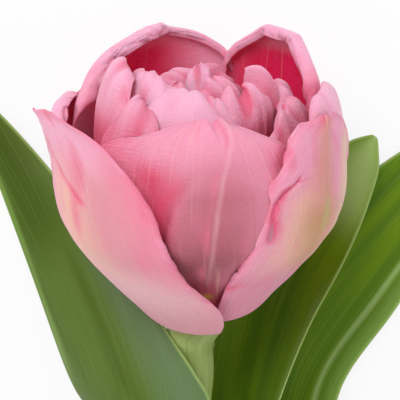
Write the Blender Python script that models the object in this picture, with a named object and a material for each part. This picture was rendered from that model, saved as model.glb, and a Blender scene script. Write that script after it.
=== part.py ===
"""A double tulip flower, cut and lying on its back: stem, leaves, petals, stamens and pistil.

Units are metres and +Z is up.  The stem runs along Y with the bloom at +Y.  The lowest petal,
the leaves and the cut end of the stem rest on the plane Z = 0.

The bloom is modelled upright about its own Z axis, with its front at -Y, and an empty then lays
it down.  Its petals sit in numbered lanes, one inside the next, so that none meets another.
"""
import math
from dataclasses import dataclass

import bmesh
import bpy
import numpy as np
from mathutils import Vector

MM = 0.001

# ---------------------------------------------------------------- driving dimensions, millimetres
BLOOM_PLACE = (-5.2, 82.2, 25.4)    # middle of the bloom's base
BLOOM_TILT = 5.5                    # degrees that the bloom's axis rises towards its tips
BLOOM_SWAY = -1.2                   # how far the top of the bloom leans to its left
PETAL_THICKNESS = 0.6
LANE_PITCH = 1.12                   # from one nested petal to the next, face to face with a gap
CLAW_RADIUS = 4.0                   # where the petals start, clear of the receptacle
FIRST_CLAW = -0.6                   # height of the outermost petal's start
CLAW_STEP = 0.95                    # share of the lane pitch by which the starts climb

STEM_LENGTH = 222.0
STEM_RADIUS_CUT = 3.9
STEM_RADIUS_TOP = 3.3
STEM_FLARE = 3.2                    # how much thicker it gets just under the bloom
STEM_FLARE_RUN = 6.0
STEM_BOW = 3.4                      # how far the stem bows to its left
STEM_BOW_RISE = 0.5                 # under 1, so that most of the bow is near the bloom
STEM_KINK = 2.0                     # how much further left it swings at the kink in its neck
STEM_KINK_PLACE = 4.0               # the kink's distance below the bloom's base
STEM_KINK_RUN = 5.0
RECEPTACLE_RADIUS = 3.5
RECEPTACLE_TOP = 10.9

LEAF_THICKNESS = 0.8

# The outside of the closed bowl, as radius and height, from the claws to the rim.
BOWL = ((6.6, -0.9), (9.6, 0.5), (13.4, 3.9), (17.6, 8.8), (22.2, 15.2), (25.8, 22.0),
        (28.0, 29.0), (29.0, 36.0), (28.7, 43.0), (27.6, 50.0), (26.2, 56.0))
BOWL_FREE = (8.0, 36.0)             # heights between which a petal leaves the bowl's own curve

# Half-widths of an ordinary petal, as share of its length and share of its greatest half-width.
OVAL = ((0.0, 0.75), (0.12, 0.8), (0.35, 0.95), (0.6, 1.0), (0.8, 0.94), (0.93, 0.72), (1.0, 0.3))
DOME = ((0.0, 0.7), (0.12, 0.8), (0.35, 0.95), (0.6, 1.0), (0.8, 1.0), (0.93, 0.86), (1.0, 0.5))
FLAT = ((0.0, 0.7), (0.12, 0.8), (0.35, 0.95), (0.6, 1.0), (0.8, 1.0), (0.93, 0.95), (1.0, 0.78))
PEAK = ((0.0, 0.7), (0.12, 0.8), (0.35, 0.95), (0.6, 1.0), (0.8, 0.9), (0.93, 0.5), (1.0, 0.08))


@dataclass
class Petal:
    """One petal: its lane, where it faces, how far and how high it reaches, and its margins."""

    name: str
    lane: int
    azimuth: float                  # degrees round the axis, 0 in front and 90 to the right
    radius: float                   # distance of its upper half from the axis
    height: float                   # height of its tip
    left: tuple                     # degrees from the midrib to the left margin, along the petal
    right: tuple
    shoulder: float = 0.82          # share of the height where the tip starts to bend
    curl: float = 4.0               # how far in a bend of 72 degrees takes the tip, or how far out
    lean: float = 0.0               # degrees by which the tip swings round the axis
    cupping: float = 1.0            # cross radius over distance from the axis, under 1 is rounder
    bend: float = 72.0              # degrees through which the upper end bends over
    crest: float = 1.5              # how much lower the margins of the tip are than its middle
    rows: int = 11
    columns: int = 8


def oval(half_width):
    """Margin of an ordinary petal whose greatest half-width is given in degrees."""
    return tuple((along, share * half_width) for along, share in OVAL)


def dome(half_width):
    """Margin of a hooded inner petal, which stays broad almost to its bent tip."""
    return tuple((along, share * half_width) for along, share in DOME)


def flat(half_width):
    """Margin of an inner petal with a broad, square top."""
    return tuple((along, share * half_width) for along, share in FLAT)


def peak(half_width):
    """Margin of an inner petal that ends in a point."""
    return tuple((along, share * half_width) for along, share in PEAK)


OUTER = {"rows": 16, "columns": 12}

PETALS = (
    Petal("petal_outer_left", 0, -72, 29.0, 47.2,
          ((0, 70), (0.2, 66), (0.5, 52), (0.7, 26), (0.85, 14), (1, 3)),
          ((0, 84), (0.15, 86), (0.28, 81), (0.37, 73), (0.48, 65), (0.63, 59), (0.73, 55),
           (0.82, 48), (0.9, 41), (0.95, 34), (0.985, 24), (1, 10)), 0.7, -4.5, crest=0.0,
          **OUTER),
    Petal("petal_outer_right", 2, 62, 28.2, 47.4,
          ((0, 52), (0.2, 52), (0.37, 49), (0.5, 45), (0.62, 39), (0.72, 33), (0.79, 33),
           (0.84, 25), (0.9, 19), (0.96, 14), (1, 8)),
          ((0, 66), (0.2, 64), (0.45, 55), (0.65, 41), (0.8, 28), (0.9, 20), (0.96, 12), (1, 4)),
          0.8, 0.0, lean=-7, crest=0.0, **OUTER),
    Petal("petal_outer_back", 1, 180, 28.2, 46.0, oval(50), oval(50), 0.8, 0.3, **OUTER),
    Petal("petal_middle_front", 3, 0, 25.4, 48.6,
          ((0, 58), (0.3, 56), (0.6, 57), (0.8, 52), (0.92, 44), (1, 12)),
          ((0, 56), (0.3, 56), (0.6, 54), (0.8, 48), (0.92, 39), (1, 18)), 0.72, 1.6, crest=0.9,
          **OUTER),
    Petal("petal_middle_right", 3, 79, 27.4, 50.2,
          ((0, 20), (0.3, 22), (0.6, 26), (0.8, 29), (0.9, 28), (0.96, 24), (1, 17)),
          ((0, 40), (0.3, 50), (0.6, 50), (0.75, 44), (0.85, 30), (0.93, 16), (1, 6)), 0.82, 1.6,
          crest=0.0, **OUTER),
    Petal("petal_middle_left", 3, -78, 28.0, 49.6,
          ((0, 44), (0.3, 49), (0.6, 48), (0.75, 42), (0.85, 30), (0.93, 18), (1, 7)),
          ((0, 12), (0.3, 14), (0.6, 18), (0.8, 21), (0.9, 22), (0.96, 20), (1, 12)), 0.82, 0.8,
          crest=0.0, **OUTER),
    Petal("petal_tall_back_left", 4, -158, 24.5, 54.6,
          ((0, 36), (0.3, 46), (0.55, 47), (0.7, 46), (0.84, 40), (0.9, 30), (0.93, 22),
           (0.96, 11), (0.98, 8), (1, 5)),
          ((0, 36), (0.3, 52), (0.6, 64), (0.75, 66), (0.82, 62), (0.87, 57), (0.92, 44),
           (0.96, 25), (0.985, 15), (1, 8)), 0.7, 2.6, crest=0.0, **OUTER),
    Petal("petal_tall_back_right", 5, 137, 23.2, 55.4,
          ((0, 33), (0.35, 42), (0.6, 50), (0.75, 53), (0.85, 51), (0.9, 43), (0.93, 36),
           (0.96, 29), (1, 22)),
          ((0, 36), (0.3, 46), (0.55, 47), (0.8, 38), (0.88, 30), (0.91, 23), (0.945, 16),
           (0.98, 9), (1, 6)), 0.7, 1.8, crest=0.0, **OUTER),
    Petal("petal_inner_left_low", 4, -46, 22.0, 49.6,
          ((0, 18), (0.5, 20), (0.75, 17), (0.88, 13), (1, 6)),
          ((0, 18), (0.5, 24), (0.75, 25), (0.9, 22), (1, 12)), 0.76, 1.4, lean=3, cupping=0.8,
          bend=98, crest=2.0),
    Petal("petal_inner_right_low", 4, 50, 22.4, 48.4, peak(27), peak(23), 0.8, 1.2, cupping=0.9,
          bend=80, crest=3.0),
    Petal("petal_inner_front", 5, -17, 20.4, 51.6, flat(28), dome(33), 0.74, 5.4, cupping=0.8,
          bend=104, crest=1.5),
    Petal("petal_inner_right_edge", 5, 70, 21.2, 47.8, dome(22), dome(22), 0.8, 1.4, cupping=0.9,
          bend=95, crest=2.5),
    Petal("petal_inner_left_tall", 5, -74, 20.2, 54.4,
          ((0, 20), (0.5, 24), (0.72, 24), (0.88, 18), (1, 9)),
          ((0, 20), (0.5, 28), (0.72, 32), (0.88, 32), (0.96, 29), (1, 22)), 0.72, 3.2, lean=-8,
          cupping=0.85, bend=96, crest=2.0),
    Petal("petal_inner_left", 6, -54, 16.6, 52.8, flat(28),
          ((0, 20), (0.5, 20), (0.78, 11), (0.9, 8), (1, 5)), 0.78, 3.0, cupping=0.85, bend=96,
          crest=1.0),
    Petal("petal_inner_front_small", 6, 9, 17.2, 48.2, flat(20), flat(20), 0.8, 1.2, cupping=0.85,
          bend=95, crest=0.8),
    Petal("petal_inner_right_side", 6, 93, 18.7, 50.0, dome(33), dome(33), 0.8, 1.6, cupping=0.85,
          bend=80, crest=2.5),
    Petal("petal_inner_back_left", 6, -151, 18.0, 46.0, dome(36), dome(36), 0.8, 3.0),
    Petal("petal_inner_left_fold", 8, -34, 12.6, 49.2, dome(19), dome(27), 0.82, 2.6, cupping=0.8,
          bend=100, crest=2.5),
    Petal("petal_inner_right_broad", 7, 38, 15.2, 52.8, dome(29), dome(29), 0.8, 2.8, cupping=0.8,
          bend=94, crest=1.5),
    Petal("petal_inner_back_right", 7, 162, 16.0, 45.0, dome(36), dome(36), 0.8, 3.0),
    Petal("petal_inner_right_hook", 8, 86, 15.6, 52.8, dome(14), dome(30), 0.76, 3.6, lean=-6,
          cupping=0.85, bend=106, crest=3.0),
    Petal("petal_inner_back_small", 9, -135, 11.6, 50.6, dome(44), dome(44), 0.82, 1.6,
          cupping=0.85, bend=120, crest=2.0),
    Petal("petal_heart_back", 9, 144, 10.6, 49.0, dome(26), dome(26), 0.84, 1.0, bend=90),
    Petal("petal_heart_right", 10, 50, 9.8, 51.4, dome(54), dome(50), 0.84, 2.0, cupping=0.8,
          bend=100, crest=2.5),
    Petal("petal_heart_cap", 11, 150, 7.4, 52.8, flat(56), flat(56), 0.84, 3.6, bend=150,
          crest=3.0),
    Petal("petal_heart_left", 11, -8, 5.4, 54.0, dome(72), dome(60), 0.84, 2.2, cupping=0.7,
          bend=95, crest=2.5),
)

# Each leaf: the side of the stem that it grows from, the line that its stations follow, which is
# its middle at 0 or its front margin at -1, and the stations.  A station gives its place across and
# along from the bloom's base and its height above the table, then half-width, cross radius, and
# degrees by which the upper face turns to the stem.  Stations without a height hug the stem.
LEAVES = {
    "leaf_left": (-1, -1, ((0, -112, None, 6.5, 4.45, 90), (0, -98, None, 8.0, 4.8, 92),
                           (0, -84, None, 9.5, 5.6, 97), (2.2, -58, 25.6, 13, 10, 112),
                           (0.2, -36, 28.2, 17.0, 18, 128), (-0.9, -18, 30.0, 19.2, 26, 138),
                           (2.6, -9.5, 31.1, 18.8, 28, 142), (8.4, -2.5, 28.0, 17.4, 30, 143),
                           (17.5, 8.5, 15.0, 13.8, 34, 148), (26, 18.5, 9.6, 9.5, 40, 156),
                           (34.5, 28.5, 3.0, 5.4, 40, 170), (42, 37.5, 1.0, 3.2, 40, 178),
                           (49, 45, 0.7, 0.8, 40, 180))),
    "leaf_right_upper": (1, 0, ((4.4, -76, None, 6.0, 4.4, 90), (5.0, -64, 18.6, 9.5, 5.9, 63),
                                (7.5, -45, 16.0, 12, 8.5, 52), (10.5, -20, 11.5, 12.5, 12.5, 44),
                                (16, 0, 7.8, 11.5, 15, 34), (23.5, 15, 5.6, 8.5, 16, 22),
                                (29.5, 24, 5.0, 5, 16, 8), (34.5, 32, 4.6, 0.8, 16, 0))),
    "leaf_right_lower": (1, 0, ((4.4, -134, None, 7.0, 4.5, 90), (5.8, -114, 12.0, 12, 7.2, 67),
                                (9, -85, 8.0, 15.5, 12.5, 46), (11.5, -50, 2.6, 15, 24, 22),
                                (16.5, -20, 0.3, 12.5, 34, 6), (30, 3, 0.2, 12.5, 40, 0),
                                (45, 22, 0.2, 9, 40, 0), (60, 38, 0.5, 0.8, 40, 0))),
}
LEAF_ROWS = 17
LEAF_COLUMNS = 6

STAMENS = 6
STAMEN_RING = 2.75
STAMEN_SPREAD = 1.6                 # how much further out the anthers stand
FILAMENT_RADIUS = 0.45
FILAMENT_TOP = 18.5
ANTHER_RADIUS = 0.85
ANTHER_TOP = 26.5
PISTIL = ((1.5, 11.2), (2.0, 13.0), (2.1, 20.0), (1.7, 24.0), (1.3, 25.5), (2.3, 27.2), (0.8, 28.4))

COLOURS = {                         # base colour, roughness
    "petal_outer": ((0.86, 0.40, 0.52), 0.5),
    "petal_inner": ((0.88, 0.34, 0.48), 0.5),
    "leaf": ((0.10, 0.20, 0.03), 0.45),
    "stem": ((0.25, 0.34, 0.12), 0.45),
    "stamen": ((0.62, 0.50, 0.12), 0.7),
    "pistil": ((0.45, 0.52, 0.22), 0.5),
}


# ---------------------------------------------------------------- curves and numbers
def smooth_path(points, count):
    """Evenly spaced points on a smooth curve through the given ones."""
    knots = np.asarray(points, dtype=float)
    ends = np.vstack((2 * knots[0] - knots[1], knots, 2 * knots[-1] - knots[-2]))
    fine = []
    for a, b, c, d in zip(ends, ends[1:], ends[2:], ends[3:]):
        for t in np.linspace(0.0, 1.0, 12, endpoint=False):
            fine.append(0.5 * (2 * b + (c - a) * t + (2 * a - 5 * b + 4 * c - d) * t ** 2
                               + (3 * b - a - 3 * c + d) * t ** 3))
    fine = np.array(fine + [knots[-1]])
    length = np.concatenate(([0.0], np.cumsum(np.linalg.norm(np.diff(fine, axis=0), axis=1))))
    places = np.linspace(0.0, length[-1], count)
    return np.column_stack([np.interp(places, length, column) for column in fine.T])


def along_curve(pairs, places):
    """Values at the places, on a smooth curve through (place, value) pairs."""
    curve = smooth_path(pairs, 80)
    return np.interp(places, curve[:, 0], curve[:, 1])


def ease(value, low, high):
    """0 below low, 1 above high, and smooth between them."""
    share = np.clip((value - low) / (high - low), 0.0, 1.0)
    return share * share * (3.0 - 2.0 * share)


# ---------------------------------------------------------------- meshes
def material(kind):
    """The Principled material of one kind of tissue, made once."""
    found = bpy.data.materials.get(kind)
    if found:
        return found
    colour, roughness = COLOURS[kind]
    made = bpy.data.materials.new(kind)
    made.use_nodes = True
    shader = made.node_tree.nodes["Principled BSDF"]
    shader.inputs["Base Color"].default_value = (*colour, 1.0)
    shader.inputs["Roughness"].default_value = roughness
    shader.inputs["Metallic"].default_value = 0.0
    return made


def add_object(name, mesh, kind, parent=None):
    """Link a mesh as a named, smooth object with its material."""
    mesh.materials.append(material(kind))
    mesh.shade_smooth()
    placed = bpy.data.objects.new(name, mesh)
    placed.parent = parent
    bpy.context.collection.objects.link(placed)
    return placed


def sheet_mesh(name, points):
    """A mesh over a grid of points, given in millimetres as rows by columns by 3."""
    rows, columns = points.shape[:2]
    sheet = bmesh.new()
    verts = [sheet.verts.new(Vector(point) * MM) for point in points.reshape(-1, 3)]
    for row in range(rows - 1):
        for column in range(columns - 1):
            corner = row * columns + column
            sheet.faces.new([verts[i] for i in
                             (corner, corner + 1, corner + columns + 1, corner + columns)])
    mesh = bpy.data.meshes.new(name)
    sheet.to_mesh(mesh)
    sheet.free()
    return mesh


def add_blade(name, points, thickness, kind, parent=None):
    """A petal or a leaf: a sheet given its thickness by a Solidify modifier."""
    blade = add_object(name, sheet_mesh(name, points), kind, parent)
    solidify = blade.modifiers.new("Thickness", "SOLIDIFY")
    solidify.thickness = thickness * MM
    solidify.offset = 0.0
    return blade


def tube_mesh(name, centres, radii, sides, facing=None):
    """A closed round body along a line of centres in millimetres, capped at both ends.

    Its rings are square to the line, or all square to one direction if that is given.
    """
    tube = bmesh.new()
    centres = [Vector(centre) for centre in centres]
    rings = []
    for index, (centre, radius) in enumerate(zip(centres, radii)):
        before = centres[max(index - 1, 0)]
        after = centres[min(index + 1, len(centres) - 1)]
        turn = (facing or after - before).to_track_quat("Z", "Y")
        ring = []
        for side in range(sides):
            angle = 2.0 * math.pi * side / sides
            spoke = Vector((radius * math.cos(angle), radius * math.sin(angle), 0.0))
            ring.append(tube.verts.new((centre + turn @ spoke) * MM))
        rings.append(ring)
    for low, high in zip(rings, rings[1:]):
        for side in range(sides):
            after = (side + 1) % sides
            tube.faces.new((low[side], low[after], high[after], high[side]))
    tube.faces.new(reversed(rings[0]))
    tube.faces.new(rings[-1])
    mesh = bpy.data.meshes.new(name)
    tube.to_mesh(mesh)
    tube.free()
    return mesh


# ---------------------------------------------------------------- petals
def lane_path(lane, radius):
    """The bowl's curve moved inwards to one lane, easing to the petal's own radius higher up."""
    bowl = np.array(BOWL)
    along = np.gradient(bowl, axis=0)
    along /= np.linalg.norm(along, axis=1)[:, None]
    inward = np.column_stack((-along[:, 1], along[:, 0]))
    depth = lane * LANE_PITCH
    path = bowl + depth * inward
    path = path[path[:, 0] > CLAW_RADIUS + 1.0]
    free = ease(path[:, 1], *BOWL_FREE)
    path[:, 0] += free * (radius - path[:, 0])
    start = (CLAW_RADIUS, FIRST_CLAW + CLAW_STEP * depth)
    return np.vstack((start, path))


def midrib(petal, count):
    """Radius and height along the middle of a petal, from its claw to its tip."""
    path = smooth_path(lane_path(petal.lane, petal.radius), 120)
    shoulder = petal.shoulder * petal.height
    path = path[:int(np.searchsorted(path[:, 1], shoulder, side="right"))]
    bend = np.radians(np.linspace(6.0, petal.bend, 10))
    inward = petal.curl * (1.0 - np.cos(bend)) / (1.0 - math.cos(math.radians(72.0)))
    rise = (petal.height - path[-1, 1]) / np.sin(bend).max()
    tip = np.column_stack((path[-1, 0] - inward, path[-1, 1] + rise * np.sin(bend)))
    return smooth_path(np.vstack((path[::12], path[-1:], tip)), count)


def petal_points(petal):
    """The petal's middle surface as a grid, with its claw in the first row."""
    rib = midrib(petal, 60)
    place = np.linspace(0.0, 1.0, 60)
    across = np.linspace(-1.0, 1.0, petal.columns + 1)
    grid = []
    for along in 1.0 - (1.0 - np.linspace(0.0, 1.0, petal.rows + 1)) ** 1.25:
        radius = np.interp(along, place, rib[:, 0])
        height = np.interp(along, place, rib[:, 1])
        left = along_curve(petal.left, along)
        right = along_curve(petal.right, along)
        angle = np.radians(np.where(across < 0.0, left, right) * across)
        cross = radius * (1.0 + (petal.cupping - 1.0) * ease(along, 0.35, 0.8))
        outward = radius - cross + cross * np.cos(angle * radius / cross)
        sideways = cross * np.sin(angle * radius / cross)
        facing = math.radians(petal.azimuth + petal.lean * along ** 2)
        x = outward * math.sin(facing) + sideways * math.cos(facing)
        y = -outward * math.cos(facing) + sideways * math.sin(facing)
        x += BLOOM_SWAY * ease(height, 0.0, 30.0)
        z = height - petal.crest * across ** 2 * ease(along, 0.6, 1.0)
        grid.append(np.column_stack((x, y, z)))
    return np.array(grid)


def build_petals(bloom):
    for petal in PETALS:
        kind = "petal_inner" if petal.lane > 3 else "petal_outer"
        add_blade(petal.name, petal_points(petal), PETAL_THICKNESS, kind, bloom)


# ---------------------------------------------------------------- heart of the flower
def build_stamens(bloom):
    for number in range(STAMENS):
        angle = math.radians(30.0 + 360.0 * number / STAMENS)
        outward = Vector((math.sin(angle), -math.cos(angle), 0.0))
        heights = (RECEPTACLE_TOP + 0.3, 14.5, FILAMENT_TOP, FILAMENT_TOP + 1.0, 22.5,
                   ANTHER_TOP - 1.0, ANTHER_TOP)
        radii = (FILAMENT_RADIUS, FILAMENT_RADIUS, 0.35, ANTHER_RADIUS, ANTHER_RADIUS,
                 0.7 * ANTHER_RADIUS, 0.25)
        centres = []
        for height in heights:
            spread = STAMEN_SPREAD * ease(height, RECEPTACLE_TOP, FILAMENT_TOP)
            centres.append(outward * (STAMEN_RING + float(spread)) + Vector((0.0, 0.0, height)))
        name = f"stamen_{number + 1}"
        add_object(name, tube_mesh(name, centres, radii, 6), "stamen", bloom)


def build_pistil(bloom):
    centres = [(0.0, 0.0, height) for _, height in PISTIL]
    radii = [radius for radius, _ in PISTIL]
    add_object("pistil", tube_mesh("pistil", centres, radii, 9), "pistil", bloom)


# ---------------------------------------------------------------- stem and leaves
def stem_line(distance):
    """Middle of the stem at a distance below the bloom's base, in world millimetres."""
    share = distance / STEM_LENGTH
    kink = math.exp(-((distance - STEM_KINK_PLACE) / STEM_KINK_RUN) ** 2)
    sideways = -STEM_BOW * math.sin(math.pi * share ** STEM_BOW_RISE) - STEM_KINK * kink
    height = (BLOOM_PLACE[2] + (STEM_RADIUS_CUT - BLOOM_PLACE[2]) * share
              + math.sin(2.0 * math.pi * share))
    return Vector((BLOOM_PLACE[0] + sideways,
                   BLOOM_PLACE[1] - distance * math.cos(math.radians(BLOOM_TILT)), height))


def build_stem():
    """The stem with its receptacle, the short column that carries the petals."""
    below = (STEM_LENGTH, 200.0, 175.0, 150.0, 125.0, 100.0, 75.0, 50.0, 30.0, 20.0, 13.0,
             9.0, 6.0, 3.4)
    centres = [stem_line(distance) for distance in below]
    radii = [STEM_RADIUS_TOP + (STEM_RADIUS_CUT - STEM_RADIUS_TOP) * distance / STEM_LENGTH
             + STEM_FLARE * math.exp(-distance / STEM_FLARE_RUN) for distance in below]
    tilt = math.radians(BLOOM_TILT)
    axis = Vector((0.0, math.cos(tilt), math.sin(tilt)))
    for height, shift, radius in ((-2.3, -1.6, 4.4), (-1.35, 0.0, RECEPTACLE_RADIUS),
                                  (5.0, 0.0, RECEPTACLE_RADIUS),
                                  (RECEPTACLE_TOP, 0.0, RECEPTACLE_RADIUS)):
        centres.append(Vector(BLOOM_PLACE) + axis * height + Vector((shift, 0.0, 0.0)))
        radii.append(radius)
    add_object("stem", tube_mesh("stem", centres, radii, 16, axis), "stem")


def hugging(side, anchor, y, width, cross, facing):
    """Where a leaf's line runs when its arc is centred on the stem."""
    core = stem_line(-y / math.cos(math.radians(BLOOM_TILT)))
    turn = math.radians(facing) + side * anchor * width / cross
    return (core.x + side * cross * math.sin(turn), core.z - cross * math.cos(turn))


def leaf_points(side, anchor, stations):
    """A leaf's middle surface in world millimetres, from its sheath to its tip."""
    filled = []
    for x, y, z, width, cross, facing in stations:
        if z is None:
            x, z = hugging(side, anchor, y, width, cross, facing)
        else:
            x = BLOOM_PLACE[0] + side * x
        filled.append((x, BLOOM_PLACE[1] + y, z, width, cross, facing))
    rows = smooth_path(filled, 60)
    rows = rows[np.linspace(0, 59, LEAF_ROWS + 1).round().astype(int)]
    line = rows[:, :3]
    along = np.gradient(line, axis=0)
    along /= np.linalg.norm(along, axis=1)[:, None]
    across = np.linspace(-1.0, 1.0, LEAF_COLUMNS + 1)
    grid = []
    for start, forward, (width, cross, facing) in zip(line, along, rows[:, 3:]):
        turn = math.radians(facing)
        up = np.array((-side * math.sin(turn), 0.0, math.cos(turn)))
        up -= forward * float(up @ forward)
        up /= np.linalg.norm(up)
        sideways = np.cross(forward, up)
        angle = across * width / cross
        arc = (np.outer(cross * np.sin(angle), sideways)
               + np.outer(cross * (1.0 - np.cos(angle)), up))
        begin = anchor * width / cross
        arc -= cross * math.sin(begin) * sideways + cross * (1.0 - math.cos(begin)) * up
        grid.append(start + arc)
    grid = np.array(grid)
    grid[:, :, 2] = np.maximum(grid[:, :, 2], 0.5 * LEAF_THICKNESS)
    return grid


def build_leaves():
    for name, (side, anchor, stations) in LEAVES.items():
        add_blade(name, leaf_points(side, anchor, stations), LEAF_THICKNESS, "leaf")


def build():
    for old in list(bpy.data.objects):
        bpy.data.objects.remove(old, do_unlink=True)
    bloom = bpy.data.objects.new("bloom_axis", None)
    bloom.location = Vector(BLOOM_PLACE) * MM
    bloom.rotation_euler = (math.radians(BLOOM_TILT - 90.0), 0.0, 0.0)
    bpy.context.collection.objects.link(bloom)
    build_stem()
    build_leaves()
    build_petals(bloom)
    build_stamens(bloom)
    build_pistil(bloom)


build()
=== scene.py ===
"""Dresses the double tulip flower: petals, leaves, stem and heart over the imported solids.

Lengths in the tables are millimetres and angles are degrees.  The bloom is shaped upright about
its own Z axis, with its front at -Y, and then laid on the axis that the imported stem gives.
"""
import math
from dataclasses import dataclass

import bpy
import numpy as np
from bpy.props import FloatProperty, FloatVectorProperty, IntProperty, PointerProperty
from bpy.types import Operator, Panel, PropertyGroup
from mathutils import Matrix, Vector


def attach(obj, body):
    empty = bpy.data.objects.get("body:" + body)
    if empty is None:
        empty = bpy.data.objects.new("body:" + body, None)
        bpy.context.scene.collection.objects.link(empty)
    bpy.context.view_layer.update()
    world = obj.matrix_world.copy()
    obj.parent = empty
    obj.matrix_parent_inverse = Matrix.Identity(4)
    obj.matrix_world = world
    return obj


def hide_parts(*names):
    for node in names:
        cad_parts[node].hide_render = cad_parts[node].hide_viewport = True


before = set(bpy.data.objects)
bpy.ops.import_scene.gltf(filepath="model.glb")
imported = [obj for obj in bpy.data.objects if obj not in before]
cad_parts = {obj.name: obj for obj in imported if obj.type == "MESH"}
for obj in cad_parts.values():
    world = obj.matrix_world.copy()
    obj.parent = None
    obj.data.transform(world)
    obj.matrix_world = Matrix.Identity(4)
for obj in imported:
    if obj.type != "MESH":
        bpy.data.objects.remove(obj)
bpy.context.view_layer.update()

bl_info = {
    "name": "Double Tulip",
    "version": (1, 0),
    "blender": (4, 5, 0),
    "location": "3D View > Sidebar > Tulip",
    "description": "Grows the petals, leaves, stem and heart of a cut double tulip",
    "category": "Add Mesh",
}

MM = 0.001


# ---------------------------------------------------------------- the bloom's place in the frame
RECEPTACLE_TOP = 10.9               # height of the stem's upper end over the bloom's base
RING_TOP = 0.3                      # where the middles of these rings lie below the highest point
RING_FOOT = 12.5


def stem_ring(drop):
    """Middle of the stem solid's ring that lies the given length below its highest point."""
    verts = np.array([vert.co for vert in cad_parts["stem"].data.vertices])
    verts = np.unique(np.round(verts, 6), axis=0)
    below = verts[:, 1].max() - verts[:, 1]
    return Vector(verts[np.abs(below - drop * MM) < 0.5 * MM].mean(axis=0))


AXIS_TOP = stem_ring(RING_TOP)
BLOOM_AXIS = (AXIS_TOP - stem_ring(RING_FOOT)).normalized()
BLOOM_BASE = AXIS_TOP - BLOOM_AXIS * RECEPTACLE_TOP * MM
BLOOM_TILT = math.atan2(BLOOM_AXIS.z, BLOOM_AXIS.y)
BLOOM_MATRIX = (Matrix.Translation(BLOOM_BASE)
                @ Matrix.Rotation(BLOOM_TILT - math.radians(90.0), 4, "X"))


# ---------------------------------------------------------------- sizes and colours to change
def tint(code):
    """Linear colour of a hex code such as F8A0B8."""
    shares = [int(code[place:place + 2], 16) / 255.0 for place in (0, 2, 4)]
    return tuple(s / 12.92 if s < 0.04045 else ((s + 0.055) / 1.055) ** 2.4 for s in shares)


def length(name, description, millimetres):
    """A length property, with its default given in millimetres."""
    return FloatProperty(name=name, description=description, default=millimetres * MM,
                         min=0.0, unit="LENGTH", precision=5)


def colour(name, description, code):
    """A colour property, with its default given as a hex code."""
    return FloatVectorProperty(name=name, description=description, default=tint(code),
                               size=3, min=0.0, max=1.0, subtype="COLOR")


class TulipSizes(PropertyGroup):
    petal_thickness: length("Petal thickness", "Thickness in the middle of a petal", 0.55)
    leaf_thickness: length("Leaf thickness", "Thickness in the middle of a leaf", 0.8)
    lane_pitch: length("Lane pitch", "From one nested petal to the next", 1.12)
    wander: length("Wander", "How far the whole bloom departs from its even shape", 0.28)
    outer_rows: IntProperty(name="Outer petal rows", default=96, min=24, max=200,
                            description="Rows of faces from the claw to the tip")
    outer_columns: IntProperty(name="Outer petal columns", default=84, min=24, max=200,
                               description="Columns of faces from margin to margin")
    inner_rows: IntProperty(name="Inner petal rows", default=64, min=16, max=200,
                            description="Rows of faces from the claw to the tip")
    inner_columns: IntProperty(name="Inner petal columns", default=52, min=16, max=200,
                               description="Columns of faces from margin to margin")


class PetalColours(PropertyGroup):
    # Pale is a painted highlight: laid on tips, domes, hems and ridges where the light falls.
    pale: colour("Pale", "Tips and domes that catch the light", "FBB2CE")
    # Pink is also painted light where it lightens a shaded inside.
    pink: colour("Pink", "The body of a petal", "F39AB6")
    # Rose is the margins' own colour, and also painted shade on hidden lower parts and in creases,
    # and painted light over shaded insides.
    rose: colour("Rose", "Thin margins and the upper inside", "EE7696")
    # Crimson is the inner face's own deep colour; away from the rim it also stands for painted
    # shade, and it marks a fold's groove as painted shade.
    crimson: colour("Crimson", "The deep inside", "E0205C")
    # Cerise is painted shade: under neighbouring petals, on their hidden lower parts and in creases.
    cerise_shade: colour("Cerise", "Tissue that its neighbours cover", "E64870")
    peach: colour("Peach", "Beside the midrib of an outer petal", "F4BAA4")
    cream: colour("Cream", "Light lines and midribs", "F4CCB4")
    # Dusk, mauve and wine are painted shade low on the outer petals, where the bowl turns under away
    # from the light; mauve also draws the dark vein lines.
    dusk: colour("Dusk", "Dull rose low on the outside", "BE6C7C")
    mauve: colour("Mauve", "The dark middle of the front petal", "A0525F")
    wine: colour("Wine", "The foot of the front petal", "B84A5C")
    lilac: colour("Lilac", "The pale claws", "F0B8BE")
    olive: colour("Olive", "Green left in the midribs", "C4AC70")
    khaki: colour("Khaki", "Dull stripes low on an outer petal", "C89662")
    # This colour is painted shade in the valley beside the midrib of the front right petal.
    tan: colour("Tan", "Brown-pink bands", "DE9488")
    spot: colour("Spot", "The yellow spot at the foot", "C4A434")


class GreenColours(PropertyGroup):
    bright: colour("Bright green", "Leaf tissue that light comes through", "6C8E06")
    deep: colour("Deep green", "The hollow side of a leaf", "527810")
    # Moss also stands for painted shade on the left leaf, near the bloom and along a crease.
    moss: colour("Moss", "The dark bands of the outer side", "40560C")
    # Fern and sage also stand for painted light on the left leaf: sage near the front margin, fern
    # along the outer margin.
    fern: colour("Fern", "The lighter margins", "7E9E48")
    sage: colour("Sage", "The grey-green low on the outer side", "68805A")
    bloom: colour("Glaucous", "The outer side of a leaf", "566E28")
    # Wax is the real waxy bloom; near the tip of the upper right leaf it also stands for painted
    # light.
    wax: colour("Wax", "The waxy bloom on the upper side", "A2C074")
    rim: colour("Leaf rim", "The thin pale margin", "9AB468")
    stem: colour("Stem", "The stem's skin", "98AC60")
    pith: colour("Pith", "The cut end of the stem", "C6CF9A")


class HeartColours(PropertyGroup):
    anther: colour("Anther", "Pollen sacs", "8A7A2C")
    filament: colour("Filament", "Stalks of the anthers", "D9C98C")
    pistil: colour("Pistil", "The ovary", "9FB060")
    stigma: colour("Stigma", "The lobes on the ovary", "DDD7A0")


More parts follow.
